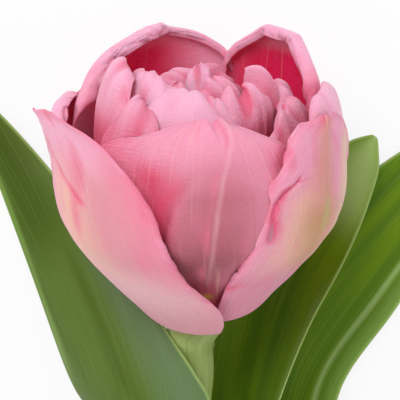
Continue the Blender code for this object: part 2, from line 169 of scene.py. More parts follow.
class StageSettings(PropertyGroup):
    view_rise: FloatProperty(name="View rise", default=math.radians(20.0), subtype="ANGLE",
                             description="How far above the bloom's side the camera stands")
    view_distance: length("View distance", "From the camera to the bloom", 450.0)
    view_width: length("View width", "Width of the view at the bloom", 80.0)
    view_side: FloatProperty(name="View side", default=-1.4 * MM, unit="LENGTH", precision=5,
                             description="Sideways place of the view's middle")
    view_height: length("View height", "From the bloom's base to the view's middle", 23.6)
    key_level: FloatProperty(name="Key level", default=0.54, min=0.0,
                             description="How bright the key light makes a white surface")
    fill_level: FloatProperty(name="Fill level", default=0.20, min=0.0,
                              description="How bright the fill light makes a white surface")
    sky_level: FloatProperty(name="Sky level", default=0.58, min=0.0,
                             description="How bright the sky makes a white surface")


# ---------------------------------------------------------------- shaders
class Signal:
    """One output socket of a shader node, to be reckoned with like a number."""

    def __init__(self, nodes, socket):
        self.nodes = nodes
        self.socket = socket

    def reckon(self, operation, first, second=0.0):
        """A Math node's result."""
        return self.nodes.add("ShaderNodeMath", {"operation": operation}, {0: first, 1: second})

    def __add__(self, other):
        return self.reckon("ADD", self, other)

    __radd__ = __add__

    def __sub__(self, other):
        return self.reckon("SUBTRACT", self, other)

    def __rsub__(self, other):
        return self.reckon("SUBTRACT", other, self)

    def __mul__(self, other):
        return self.reckon("MULTIPLY", self, other)

    __rmul__ = __mul__

    def __abs__(self):
        return self.reckon("ABSOLUTE", self)


class Nodes:
    """A shader's node tree, and the one way to add a node to it."""

    def __init__(self, tree):
        self.tree = tree

    def connect(self, value, socket):
        """Link a signal to a socket, or set the socket to a number or a colour."""
        if isinstance(value, Signal):
            self.tree.links.new(value.socket, socket)
        elif hasattr(value, "__len__") and socket.type == "RGBA":
            socket.default_value = (*value[:3], 1.0)
        else:
            socket.default_value = value

    def add(self, kind, settings=None, inputs=None, output=0):
        """One output of a new node, after its settings and then its sockets are set."""
        node = self.tree.nodes.new(kind)
        for label, value in (settings or {}).items():
            setattr(node, label, value)
        for label, value in (inputs or {}).items():
            self.connect(value, node.inputs[label])
        return Signal(self, node.outputs[output])


class Finish(Nodes):
    """A material with its Principled shader.  Sockets that never vary are given by name."""

    def __init__(self, name, **fixed):
        self.material = bpy.data.materials.new(name)
        self.material.use_nodes = True
        super().__init__(self.material.node_tree)
        self.surface = self.tree.nodes["Principled BSDF"]
        for label, value in fixed.items():
            self.surface.inputs[label.replace("_", " ")].default_value = value

    def feed(self, label, value):
        """Connect a signal or a value to the Principled shader."""
        self.connect(value, self.surface.inputs[label])

    def mix(self, under, over, share):
        """The colour under, with the colour over laid on it by a share."""
        return self.add("ShaderNodeMix", {"data_type": "RGBA"},
                        {0: share, 6: under, 7: over}, output=2)

    def ease(self, value, low, high):
        """0 at low and 1 at high, smooth between them; low may be the larger."""
        return self.add("ShaderNodeMapRange", {"interpolation_type": "SMOOTHSTEP"},
                        {"Value": value, "From Min": low, "From Max": high})

    def laid(self, under, over, signal, low, high, share):
        """The colour under, with a share of another laid on it as a signal nears high."""
        return self.mix(under, over, self.ease(signal, low, high) * share)

    def parts(self, attribute):
        """The three numbers that a mesh attribute holds."""
        vector = self.add("ShaderNodeAttribute", {"attribute_name": attribute}, output=1)
        split = self.add("ShaderNodeSeparateXYZ", None, {0: vector})
        return [Signal(self, socket) for socket in split.socket.node.outputs]

    def noise(self, x, y, z, detail=2.0):
        """Cloudy noise at a place, around 0.5."""
        place = self.add("ShaderNodeCombineXYZ", None, {0: x, 1: y, 2: z})
        return self.add("ShaderNodeTexNoise", None,
                        {"Vector": place, "Scale": 1.0, "Detail": detail})

    def relief(self, height, distance, strength):
        """Feed a height to the shader's normal."""
        normal = self.add("ShaderNodeBump", None,
                          {"Strength": strength, "Distance": distance, "Height": height})
        self.feed("Normal", normal)


# ---------------------------------------------------------------- curves and numbers
KNOT_STEPS = 12                     # steps from one knot of a smooth path to the next
CURVE_POINTS = 160                  # points that a curve of values is read from


def smooth_path(points, count):
    """Evenly spaced points on a smooth curve through the given ones."""
    knots = np.asarray(points, dtype=float)
    ends = np.vstack((2 * knots[0] - knots[1], knots, 2 * knots[-1] - knots[-2]))
    fine = []
    for a, b, c, d in zip(ends, ends[1:], ends[2:], ends[3:]):
        for t in np.linspace(0.0, 1.0, KNOT_STEPS, endpoint=False):
            fine.append(0.5 * (2 * b + (c - a) * t + (2 * a - 5 * b + 4 * c - d) * t ** 2
                               + (3 * b - a - 3 * c + d) * t ** 3))
    fine = np.array(fine + [knots[-1]])
    distance = np.concatenate(([0.0], np.cumsum(np.linalg.norm(np.diff(fine, axis=0), axis=1))))
    places = np.linspace(0.0, distance[-1], count)
    return np.column_stack([np.interp(places, distance, column) for column in fine.T])


def along_curve(pairs, places):
    """Values at the places, on a smooth curve through (place, value) pairs."""
    curve = smooth_path(pairs, CURVE_POINTS)
    return np.interp(places, curve[:, 0], curve[:, 1])


def ease(value, low, high):
    """0 below low, 1 above high, and smooth between them."""
    share = np.clip((value - low) / (high - low), 0.0, 1.0)
    return share * share * (3.0 - 2.0 * share)


def window(value, span):
    """Rises over the first two numbers of the span and falls over the last two."""
    start, full, fade, end = span
    return ease(value, start, full) * (1.0 - ease(value, fade, end))


def unit(vectors):
    """The vectors along the last axis, at length one."""
    return vectors / np.maximum(np.linalg.norm(vectors, axis=-1, keepdims=True), 1e-9)


def added_up(rate, places):
    """The running sum of a rate over places in a row, zero in the middle column."""
    steps = 0.5 * (rate[:, 1:] + rate[:, :-1]) * np.diff(places, axis=1)
    total = np.hstack((np.zeros((len(rate), 1)), np.cumsum(steps, axis=1)))
    middle = rate.shape[1] // 2
    return total - total[:, middle:middle + 1]


# ---------------------------------------------------------------- how a petal is described
@dataclass
class Fold:
    """A ridge, a groove if its depth is negative, or a step, that runs along a sheet."""

    path: tuple                     # (along, across) pairs, both as shares of the sheet
    depth: float
    width: float
    span: tuple                     # where it starts, is full, fades and ends
    step: bool = False


@dataclass
class Hem:
    """The upper margin of a petal rolled inwards."""

    width: tuple                    # (across, millimetres) of sheet that the roll takes up
    turn: float                     # degrees that it turns
    along: tuple                    # where it starts, is full, fades and ends


@dataclass
class Wash:
    """A soft patch of another colour, with its middle as (along, across) pairs."""

    tint: str
    strength: float
    path: tuple
    width: float
    along: tuple                    # where it starts, is full, fades and ends
    inside: bool = False            # on a petal's inner face, or a leaf's outer one


@dataclass
class Petal:
    """One petal: its lane, where it faces, how far and how high it reaches, and its margins."""

    name: str
    lane: int
    azimuth: float                  # degrees round the axis, 0 in front and 90 to the right
    radius: float                   # distance of its upper half from the axis
    height: float                   # height of its tip
    left: tuple                     # degrees from the midrib to the left margin, along the petal
    right: tuple
    shoulder: float = 0.82          # share of the height where the tip starts to bend
    curl: float = 4.0               # how far the tip bends in, or out where it is negative
    lean: float = 0.0               # degrees by which the tip swings round the axis
    cupping: float = 1.0            # cross radius over distance from the axis, under 1 is rounder
    crest: float = 1.5              # how much lower the margins of the tip are than its middle
    bend: float = 72.0              # degrees by which the tip turns
    edge: tuple = ()                # (across, millimetres) by which the top edge rises
    folds: tuple = ()
    hems: tuple = ()
    ruffle: float = 0.12            # height of the waves along the margins
    crinkle: float = 0.10           # height of the small soft hills
    pleats: float = 0.0             # height of the soft ridges between its long creases
    pleat_width: float = 5.0        # from one crease to the next
    ragged: float = 0.0             # how uneven the top edge is
    washes: tuple = ()
    veins: float = 0.35             # how strong the light and dark lines are
    blush: float = 0.6              # how strong the rose margin is
    # The next field sets the painted highlight, pale, on the upper part.
    tip_highlight: float = 0.5               # how strong the pale upper part is
    # The next two fields set painted shade, rose then crimson-pink, on the lower part that
    # neighbouring petals hide.
    shade: float = 0.0              # how strong the crimson of the hidden lower part is
    shade_line: float = 0.7         # share of the length where that crimson is half as strong


@dataclass
class Leaf:
    """The looks of one leaf over its plain shape."""

    easing: int = 0                 # how often the margin across from the line is evened out
    washes: tuple = ()


OUTER_LANES = 3                     # petals in lanes up to this one are the outer ones
CLAW_RADIUS = 4.0                   # where a petal springs from the receptacle
FIRST_CLAW = -0.6                   # height at which the outermost petal springs
CLAW_STEP = 0.95                    # how much higher a claw is for each millimetre further in
BLOOM_SWAY = -1.2                   # how far the bloom's upper half stands off its axis
# The outermost petal's middle as (radius, height) pairs, and the heights over which each petal
# leaves this curve for a radius of its own.
BOWL = ((6.6, -0.9), (9.6, 0.5), (13.4, 3.9), (17.6, 8.8), (22.2, 15.2), (25.8, 22.0),
        (28.0, 29.0), (29.0, 36.0), (28.7, 43.0), (27.6, 50.0), (26.2, 56.0))
BOWL_FREE = (8.0, 36.0)

TO_TIP = (1.1, 1.2)                 # fades and ends past the tip, so never on the petal


def margin_curve(*shares):
    """A function that gives a margin's curve for the degrees of its half-width."""
    def scaled(half_width):
        return tuple((along, share * half_width) for along, share in shares)
    return scaled


oval = margin_curve((0.0, 0.75), (0.12, 0.8), (0.35, 0.95), (0.6, 1.0), (0.8, 0.94), (0.93, 0.72),
                    (1.0, 0.3))
dome = margin_curve((0.0, 0.7), (0.12, 0.8), (0.35, 0.95), (0.6, 1.0), (0.8, 1.0), (0.93, 0.86),
                    (1.0, 0.5))
flat = margin_curve((0.0, 0.7), (0.12, 0.8), (0.35, 0.95), (0.6, 1.0), (0.8, 1.0), (0.93, 0.95),
                    (1.0, 0.78))
peak = margin_curve((0.0, 0.7), (0.12, 0.8), (0.35, 0.95), (0.6, 1.0), (0.8, 0.9), (0.93, 0.5),
                    (1.0, 0.08))


def straight(across):
    """A line up a sheet at one share of its half-width."""
    return ((0.0, across), (1.0, across))


# Every capping in the tables is painted light: a pale highlight over the top, or rose and pink
# lightening a shaded inside.
def capping(tint, strength, start, full, inside=False):
    """A wash over the whole width, from where it starts and is full up to the tip."""
    return Wash(tint, strength, straight(0.0), 2.0, (start, full, *TO_TIP), inside)


OUTER_PETALS = (
    Petal("petal_outer_left", 0, -72, 29.0, 47.2,
          ((0, 70), (0.2, 66), (0.5, 52), (0.7, 26), (0.85, 14), (0.94, 9), (1, 0.5)),
          ((0, 84), (0.15, 86), (0.28, 81), (0.37, 73), (0.48, 65), (0.63, 59), (0.73, 55),
           (0.82, 48), (0.9, 41), (0.95, 34), (0.985, 24), (1, 14)),
          0.66, -10.6, bend=45, crest=0.0, ruffle=0.22, blush=0.75, veins=0.5, crinkle=0.12,
          edge=((-1, 0.0), (0.0, 0.0), (0.6, 1.2), (1, 1.6)),
          hems=(Hem(((-30, 0.0), (5, 0.0), (14, 1.0), (28, 1.2)), 90, (0.3, 0.5, 0.84, 0.92)),),
          folds=(Fold(((0.7, 0.42), (0.73, 0.3), (0.78, 0.13), (0.85, -0.05)), -0.3, 1.5,
                      (0.69, 0.72, 0.86, 0.9)),
                 Fold(((0.5, 0.15), (0.72, 0.3), (0.95, 0.5)), -0.2, 3.0, (0.5, 0.65, 0.9, 1.0))),
          washes=(Wash("peach", 0.9, ((0.4, 0.38), (0.66, 0.22), (0.8, 0.15)), 0.4,
                       (0.35, 0.5, 0.68, 0.82)),
                  Wash("peach", 0.35, straight(0.3), 1.4, (0.3, 0.5, 0.8, 0.95)),
                  # Painted shade: dusk along the side and at the foot; pale is a painted highlight
                  # at the tip.
                  Wash("dusk", 0.35, straight(0.6), 0.6, (0.4, 0.52, 0.75, 0.9)),
                  Wash("pale", 0.8, straight(0.5), 1.4, (0.8, 0.95, *TO_TIP)),
                  Wash("rose", 0.5, straight(0.95), 0.35, (0.35, 0.5, 0.85, 0.97)),
                  Wash("lilac", 0.85, straight(0.5), 1.2, (-0.1, 0.0, 0.35, 0.58)),
                  Wash("dusk", 0.5, straight(0.5), 1.2, (-0.1, 0.0, 0.15, 0.4)))),
    Petal("petal_outer_right", 2, 62, 28.2, 48.0,
          ((0, 52), (0.2, 52), (0.37, 49), (0.5, 45), (0.62, 39), (0.72, 33), (0.79, 33),
           (0.84, 26), (0.9, 22), (0.96, 18), (1, 13)),
          ((0, 66), (0.2, 64), (0.45, 55), (0.65, 41), (0.8, 28), (0.9, 20), (0.96, 12), (1, 4)),
          0.8, 0.0, lean=-7, crest=0.0, ruffle=0.3, blush=0.75, veins=0.8, crinkle=0.16,
          hems=(Hem(((-20, 1.8), (-8, 1.6), (0, 0.6), (12, 0.4)), 120, (0.3, 0.5, *TO_TIP)),),
          folds=(Fold(((0.6, -0.8), (0.66, -0.84), (0.71, -0.9), (0.75, -0.84), (0.8, -0.55)),
                      -0.8, 0.7, (0.58, 0.64, 0.78, 0.84)),),
          washes=(Wash("peach", 0.9, ((0.4, -0.4), (0.8, -0.35)), 0.6, (0.35, 0.55, 0.7, 0.82)),
                  Wash("cream", 0.85, ((0.4, 0.3), (0.65, 0.42), (0.95, 0.9)), 0.34,
                       (0.3, 0.45, 0.85, 0.97)),
                  # Painted shade: in the valley beside the midrib, crimson along the groove of the
                  # fold, and dusk at the foot.
                  Wash("tan", 0.9, ((0.5, -0.1), (0.78, -0.12), (1.0, 0.1)), 0.4,
                       (0.55, 0.68, *TO_TIP)),
                  Wash("khaki", 0.9, ((0.3, 0.0), (0.7, -0.1)), 0.6, (0.35, 0.48, 0.62, 0.74)),
                  Wash("olive", 0.9, ((0.5, 0.0), (0.8, 0.0)), 0.09, (0.55, 0.62, 0.74, 0.8)),
                  Wash("crimson", 0.75, ((0.6, -0.8), (0.66, -0.83), (0.71, -0.89), (0.75, -0.82),
                                         (0.8, -0.5)), 0.13, (0.58, 0.64, 0.78, 0.82)),
                  Wash("dusk", 0.4, straight(-0.4), 1.2, (0.0, 0.1, 0.35, 0.55)))),
    Petal("petal_outer_back", 1, 180, 28.2, 46.0, oval(50), oval(50), 0.8, 0.3,
          washes=(Wash("peach", 0.7, straight(0.0), 0.5, (0.1, 0.3, 0.6, 0.8)),
                  Wash("olive", 0.5, straight(0.0), 0.1, (0.2, 0.4, 0.6, 0.8)),
                  # Painted shade: dusk at the foot.
                  Wash("dusk", 0.6, straight(0.0), 0.8, (0.0, 0.15, 0.3, 0.5)))),
    Petal("petal_middle_front", 3, 0, 25.4, 48.6,
          ((0, 58), (0.3, 56), (0.6, 57), (0.8, 52), (0.92, 44), (1, 12)),
          ((0, 56), (0.3, 56), (0.6, 54), (0.8, 48), (0.92, 39), (1, 18)),
          0.72, 1.6, crest=1.2, veins=0.9, blush=0.3, tip_highlight=0.15, ruffle=0.15, crinkle=0.08,
          edge=((-1, 0.0), (-0.3, 0.5), (0.1, 0.7), (0.22, -0.7), (0.32, 0.5), (0.5, 1.1),
                (0.68, 0.2), (1, 0.0)),
          folds=(Fold(((0.45, -0.27), (0.61, -0.24), (0.66, -0.21), (0.72, -0.18), (0.76, -0.13),
                       (0.81, -0.07), (0.9, 0.05)), 1.8, 0.5, (0.45, 0.58, 0.76, 0.84), step=True),
                 Fold(((0.4, 0.06), (0.62, 0.105), (0.74, 0.14), (0.84, 0.21), (0.97, 0.41)),
                      0.2, 0.35, (0.3, 0.5, *TO_TIP)),
                 Fold(((0.4, 0.0), (0.62, 0.06), (0.74, 0.09), (0.84, 0.15), (0.97, 0.33)),
                      -0.12, 0.8, (0.3, 0.5, *TO_TIP))),
          # Painted shade: crimson-pink on the left flank and under the neighbour at the right
          # margin, and dull rose, mauve and wine low in the middle, where the bowl turns under away
          # from the light.
          washes=(Wash("cerise_shade", 0.95, ((0.5, -0.3), (0.62, -0.31), (0.77, -0.36), (0.9, -0.45)),
                       0.3, (0.45, 0.58, 0.8, 0.9)),
                  Wash("cerise_shade", 0.5, straight(0.9), 0.45, (0.3, 0.5, 0.85, 0.95)),
                  Wash("dusk", 1.0, ((0.5, 0.1), (0.8, 0.15)), 0.8, (0.4, 0.55, 0.74, 0.94)),
                  Wash("mauve", 1.0, straight(0.0), 0.7, (0.2, 0.35, 0.5, 0.72)),
                  Wash("wine", 0.9, straight(0.0), 0.9, (-0.1, 0.0, 0.25, 0.45)),
                  Wash("lilac", 0.25, ((0.4, 0.06), (0.62, 0.105), (0.74, 0.14), (0.84, 0.21),
                                       (0.97, 0.41)), 0.035, (0.3, 0.5, *TO_TIP)),
                  # Painted shade along the step of the fold.
                  Wash("cerise_shade", 0.6, ((0.56, -0.36), (0.61, -0.34), (0.66, -0.31), (0.72, -0.28),
                                       (0.76, -0.23), (0.81, -0.17)), 0.16,
                       (0.5, 0.6, 0.74, 0.86)),
                  Wash("spot", 1.0, straight(0.02), 0.12, (0.24, 0.26, 0.28, 0.31)))),
    Petal("petal_middle_right", 3, 79, 27.4, 49.9,
          ((0, 20), (0.3, 22), (0.6, 26), (0.8, 29), (0.9, 28), (0.96, 24), (1, 17)),
          ((0, 40), (0.3, 50), (0.6, 50), (0.75, 44), (0.85, 30), (0.93, 16), (1, 6)),
          0.8, 3.0, bend=98, crest=0.0, tip_highlight=0.9,
          hems=(Hem(((-30, 1.6), (30, 1.6)), 100, (0.6, 0.8, *TO_TIP)),),
          # Painted highlight over the hooded top, and painted light, rose, over the shaded inside.
          washes=(capping("pale", 0.9, 0.76, 0.86),
                  capping("rose", 0.9, -0.2, -0.1, True))),
    Petal("petal_middle_left", 3, -92, 28.4, 47.0,
          ((0, 44), (0.3, 46), (0.6, 40), (0.75, 33), (0.85, 27), (0.93, 21), (1, 12)),
          ((0, 26), (0.3, 28), (0.6, 28), (0.8, 26), (0.9, 25), (0.96, 22), (1, 14)),
          0.82, -1.0, lean=-8, crest=0.0, tip_highlight=0.9,
          hems=(Hem(((-30, 4.2), (30, 4.2)), 160, (0.6, 0.8, *TO_TIP)),),
          # Painted highlight over the hooded top, and painted light, rose and pink, over the shaded
          # inside.
          washes=(capping("pale", 0.9, 0.76, 0.86),
                  capping("rose", 0.9, -0.2, -0.1, True),
                  capping("pink", 0.9, 0.7, 0.85, True))),
    Petal("petal_tall_back_left", 4, -158, 24.5, 58.9,
          ((0, 36), (0.3, 46), (0.55, 47), (0.7, 46), (0.84, 40), (0.9, 30), (0.93, 22),
           (0.955, 13), (0.975, 8), (1, 5)),
          ((0, 36), (0.3, 52), (0.6, 64), (0.75, 66), (0.82, 62), (0.87, 57), (0.92, 44), (0.96, 25),
           (0.985, 15), (1, 8)),
          0.7, 2.6, tip_highlight=1.0, crest=0.0, crinkle=0.06,
          hems=(Hem(((-20, 3.0), (-6, 3.6), (3, 5.6), (25, 5.6)), 160, (0.7, 0.82, *TO_TIP)),),
          # Painted light: pink over the shaded inside; pale is a painted highlight on the rolled
          # band.
          washes=(capping("pink", 0.7, 0.84, 0.92, True),
                  Wash("pink", 0.9, straight(0.9), 0.5, (0.15, 0.3, 0.8, 0.95), True),
                  Wash("pale", 0.9, ((0, -0.75), (1, -0.7)), 0.8, (0.7, 0.8, *TO_TIP), True))),
    Petal("petal_tall_back_right", 5, 137, 23.2, 59.4,
          ((0, 33), (0.35, 42), (0.6, 50), (0.75, 50), (0.85, 46), (0.9, 37), (0.93, 30),
           (0.96, 24), (1, 18)),
          ((0, 36), (0.3, 46), (0.55, 47), (0.8, 43), (0.88, 37), (0.91, 32), (0.945, 25),
           (0.98, 18), (1, 12)),
          0.7, 1.8, lean=-8, tip_highlight=1.0, crest=0.0, crinkle=0.06,
          hems=(Hem(((-25, 5.0), (5, 5.0), (20, 3.4)), 160, (0.5, 0.7, *TO_TIP)),),
          # Painted highlight: pale over the upper inside.
          washes=(Wash("pale", 0.8, ((0, 0.3), (1, 0.1)), 1.2, (0.84, 0.9, *TO_TIP), True),
                  Wash("rose", 0.7, straight(-0.8), 0.8, (0.5, 0.65, 0.8, 0.9)))),
)

# In each inner petal, the pale capping is a painted highlight on its top.
INNER_PETALS = (
    Petal("petal_inner_left_low", 4, -46, 22.0, 49.6,
          ((0, 18), (0.5, 20), (0.75, 17), (0.88, 13), (1, 6)),
          ((0, 18), (0.5, 24), (0.75, 25), (0.9, 22), (1, 12)), 0.76, 3.0, lean=3,
          cupping=0.8, bend=98, crest=2.0, shade=0.8, shade_line=0.78,
          pleats=0.5, pleat_width=6.0, ragged=0.5),
    Petal("petal_inner_right_low", 4, 50, 22.4, 48.4, peak(27), peak(23), 0.8, 2.6, cupping=0.9,
          bend=80, crest=3.0, shade=0.7, shade_line=0.78,
          pleats=0.45, pleat_width=3.6, ragged=0.4, veins=0.9),
    Petal("petal_inner_front", 5, -17, 20.4, 51.2, flat(28), dome(33), 0.74, 5.4, cupping=0.8,
          bend=104, crest=3.0, shade=0.5, shade_line=0.72, tip_highlight=1.0, crinkle=0.05,
          pleats=0.25, pleat_width=9.0, ragged=0.6,
          washes=(capping("pale", 0.9, 0.72, 0.84),)),
    Petal("petal_inner_right_edge", 5, 70, 21.2, 47.8, dome(22), dome(22), 0.8, 2.6, cupping=0.9,
          bend=95, crest=2.5, shade=0.6, shade_line=0.8,
          pleats=0.5, pleat_width=5.0, ragged=0.6),
    Petal("petal_inner_left_tall", 5, -74, 20.2, 54.4,
          ((0, 20), (0.5, 24), (0.72, 24), (0.88, 18), (1, 9)),
          ((0, 20), (0.5, 28), (0.72, 32), (0.88, 32), (0.96, 29), (1, 22)),
          0.72, 3.2, lean=-8, cupping=0.85, bend=96, crest=2.0, shade=0.9, shade_line=0.76,
          pleats=0.35, pleat_width=6.0, ragged=0.5, veins=0.6, tip_highlight=1.0,
          washes=(capping("pale", 0.6, 0.74, 0.86),)),
    Petal("petal_inner_left", 6, -52, 16.6, 52.8, flat(28),
          ((0, 20), (0.5, 24), (0.78, 22), (0.9, 31), (1, 22)),
          0.78, 3.0, cupping=0.85, bend=96, crest=1.0, shade=0.7, shade_line=0.8,
          pleats=0.35, pleat_width=7.0, ragged=0.8, tip_highlight=1.0,
          washes=(capping("pale", 0.95, 0.68, 0.8),)),
    Petal("petal_inner_front_small", 6, 9, 17.0, 49.6, flat(20), flat(20), 0.8, 2.8, cupping=0.85,
          bend=95, crest=0.8, shade=0.6, shade_line=0.8,
          pleats=0.3, pleat_width=7.0, ragged=0.8,
          washes=(capping("pale", 0.5, 0.82, 0.92),)),
    Petal("petal_inner_right_side", 6, 94, 18.6, 48.8, dome(33), dome(33), 0.8, 3.0, cupping=0.85,
          bend=95, crest=2.5, shade=0.7, shade_line=0.78,
          pleats=0.6, pleat_width=4.0, ragged=0.5),
    Petal("petal_inner_back_left", 6, -151, 18.0, 46.0, dome(36), dome(36), 0.8, 3.0, shade=0.9),
    Petal("petal_inner_left_fold", 8, -34, 12.6, 51.4, dome(19), dome(27), 0.82, 2.6, cupping=0.8,
          bend=100, crest=2.5, shade=0.9, shade_line=0.86,
          pleats=0.6, pleat_width=4.0, ragged=0.5, veins=0.8),
    Petal("petal_inner_right_broad", 7, 38, 15.8, 52.8, dome(29), dome(29), 0.8, 2.8, cupping=0.8,
          bend=94, crest=1.5, shade=0.8, shade_line=0.8,
          edge=((-1, -1.0), (-0.6, 0.0), (-0.3, -0.8), (0.0, -2.8), (0.3, -1.2), (0.7, -1.0),
                (1, -1.5)),
          folds=(Fold(((0.7, 0.0), (1.0, 0.0)), -1.2, 1.6, (0.8, 0.95, 1.2, 1.3)),
                 Fold(((0.5, 0.4), (1.0, 0.55)), 0.4, 0.5, (0.6, 0.7, 1.2, 1.3))),
          pleats=0.35, pleat_width=5.0,
          washes=(capping("pale", 0.6, 0.76, 0.88),)),
    Petal("petal_inner_back_right", 7, 162, 16.0, 45.0, dome(36), dome(36), 0.8, 3.0, shade=0.9),
    Petal("petal_inner_right_hook", 8, 86, 15.6, 52.8, dome(14), dome(30), 0.76, 3.6, lean=-12,
          cupping=0.85, bend=106, crest=3.0, shade=0.8, shade_line=0.8,
          pleats=0.5, pleat_width=5.0, ragged=0.5),
    Petal("petal_inner_back_small", 9, -135, 11.6, 50.8, dome(44), flat(48), 0.82, 5.0, bend=120,
          cupping=0.85, crest=2.0, shade=0.4, shade_line=0.86,
          pleats=0.5, pleat_width=2.6, veins=0.8),
    Petal("petal_heart_back", 9, 144, 10.6, 49.0, dome(26), dome(26), 0.84, 3.0, bend=120,
          shade=0.8, shade_line=0.8,
          pleats=0.5, pleat_width=3.0),
    Petal("petal_heart_right", 10, 50, 9.8, 51.4, flat(62), dome(50), 0.84, 3.8, cupping=0.8,
          bend=100, crest=2.5, crinkle=0.3, shade=0.8, shade_line=0.86,
          pleats=0.6, pleat_width=3.4, ragged=0.8),
    Petal("petal_heart_cap", 11, 150, 7.4, 52.8, flat(56), flat(56), 0.84, 4.2, bend=150,
          crest=3.0, shade=0.4, shade_line=0.86,
          pleats=0.5, pleat_width=3.6, ragged=0.6, veins=0.8,
          washes=(capping("pale", 0.6, 0.84, 0.9),)),
    Petal("petal_heart_left", 11, 0, 5.4, 54.0, dome(72), dome(60), 0.84, 2.2, cupping=0.7,
          bend=95, crest=2.5, shade=0.4, shade_line=0.86,
          pleats=0.6, pleat_width=3.6, ragged=0.4, veins=0.9,
          washes=(capping("pale", 0.95, 0.72, 0.84),)),
)

# Each leaf: the side of the stem that it grows from, the line that its stations follow, which is
# its middle at 0 or its front margin at -1, and the stations.  A station gives its place across and
# along from the bloom's base and its height above the table, then half-width, cross radius, and
# degrees by which the upper face turns to the stem.  Stations without a height hug the stem.
LEAVES = {
    "leaf_left": (-1, -1, ((0, -112, None, 6.5, 4.45, 90), (0, -98, None, 8.0, 4.8, 92),
                           (0, -84, None, 9.5, 5.6, 97), (2.2, -58, 25.6, 13, 10, 112),
                           (0.2, -36, 28.2, 18.4, 18, 128), (-0.9, -18, 30.0, 20.6, 26, 138),
                           (2.6, -9.5, 31.1, 18.8, 28, 142), (7.6, -2.5, 28.0, 17.4, 30, 143),
                           (16.9, 8.5, 15.0, 13.8, 34, 148), (26, 18.5, 9.6, 9.5, 40, 156),
                           (34.5, 27.6, 3.0, 5.4, 40, 170), (42, 35.6, 1.0, 3.2, 40, 178),
                           (49, 42.6, 0.7, 0.8, 40, 180))),
    "leaf_right_upper": (1, 0, ((4.4, -76, None, 6.0, 4.4, 90), (5.0, -64, 18.6, 9.5, 5.9, 63),
                                (7.5, -45, 16.0, 12, 8.5, 52), (10.5, -20, 11.5, 12.5, 12.5, 44),
                                (16, 0, 7.8, 11.5, 15, 34), (23.5, 14.4, 5.6, 8.8, 16, 22),
                                (28.8, 23.2, 5.0, 6.0, 16, 8), (31.8, 28.6, 4.7, 4.2, 16, 3),
                                (34.4, 32.4, 4.6, 0.8, 16, 0))),
    "leaf_right_lower": (1, 0, ((4.4, -134, None, 7.0, 4.5, 90), (5.8, -114, 12.0, 12, 7.2, 67),
                                (9, -85, 8.0, 15.5, 12.5, 46), (11.5, -50, 2.6, 15, 24, 22),
                                (16.5, -20, 0.3, 12.5, 34, 6), (30, 2.6, 0.2, 12.6, 40, 0),
                                (45, 21.0, 0.2, 9.2, 40, 0), (60, 37.4, 0.5, 0.8, 40, 0))),
}
LEAF_LOOKS = {
    "leaf_left": Leaf(easing=160, washes=(
        # Painted shade: moss near the bloom and along a crease; painted light: sage near the front
        # margin and fern along the outer margin.
        Wash("moss", 0.9, ((0, 0.3), (1, 0.1)), 1.3, (0.74, 0.84, 1.0, 1.1), True),
        Wash("moss", 0.5, ((0, -0.15), (1, -0.3)), 0.16, (0.55, 0.6, 0.72, 0.8), True),
        Wash("sage", 0.8, ((0, -0.9), (1, -0.8)), 0.5, (0.45, 0.55, 0.7, 0.8), True),
        Wash("fern", 0.6, straight(0.85), 0.2, (0.6, 0.7, 0.95, 1.1), True))),
    "leaf_right_upper": Leaf(washes=(
        # The waxy bloom, lighter towards the tip as painted light where the leaf is lit.
        Wash("wax", 0.75, straight(0.3), 1.5, (0.76, 0.88, *TO_TIP)),
        Wash("fern", 0.8, straight(0.9), 0.25, (0.4, 0.5, 0.64, 0.74)),)),
    "leaf_right_lower": Leaf(washes=(
        Wash("deep", 0.7, ((0.6, 0.45), (0.85, 0.45)), 0.14, (0.6, 0.65, 0.85, 0.9)),
        Wash("wax", 0.8, ((0.6, 0.62), (0.85, 0.66)), 0.09, (0.6, 0.65, 0.9, 1.0)),
        Wash("fern", 0.8, straight(0.95), 0.3, (0.5, 0.6, 0.85, 0.95)),)),
}
LEAF_ROWS = 150
LEAF_COLUMNS = 44
LEAF_SWAY = 0.35                    # height of the long soft waves in a leaf
LEAF_PULL = 0.25                    # how much of a bump one evening out takes from a margin
FIRST_LEAF_SEED = 40

STEM_LENGTH = 222.0                 # from the bloom's base to the cut end
STEM_SHAFT_TOP = 3.4                # how far below the bloom's base the plain shaft ends
STEM_RINGS = 90
STEM_SIDES = 48
STEM_RADIUS_CUT = 3.9
STEM_RADIUS_TOP = 3.3
STEM_FLARE = 3.6                    # how much thicker the stem gets just under the bloom
STEM_FLARE_RUN = 6.0
STEM_BOW = 3.4                      # how far the stem bows to the left
STEM_BOW_RISE = 0.5                 # under 1, the bow lies nearer the bloom
STEM_KINK = 2.0                     # how much further left it swings at the kink in its neck
STEM_KINK_PLACE = 4.0               # the kink's distance below the bloom's base
STEM_KINK_RUN = 5.0
RECEPTACLE_RADIUS = 3.5
# Rings above the shaft: height over the bloom's base, shift to the right and radius.
STEM_HEAD = ((-1.9, -1.6, 4.4), (-0.9, 0.0, RECEPTACLE_RADIUS), (5.0, 0.0, RECEPTACLE_RADIUS),
             (RECEPTACLE_TOP, 0.0, RECEPTACLE_RADIUS))

STAMENS = 6
FIRST_STAMEN_TURN = 30.0            # degrees round the axis from the front
STAMEN_RING = 2.75                  # distance of a filament's foot from the axis
STAMEN_SPREAD = 1.6                 # how much further out its anther stands
STAMEN_SIDES = 20
FILAMENT_TOP = 18.5
ANTHER_SPLIT = 0.52                 # share of a stamen's length where the anther starts
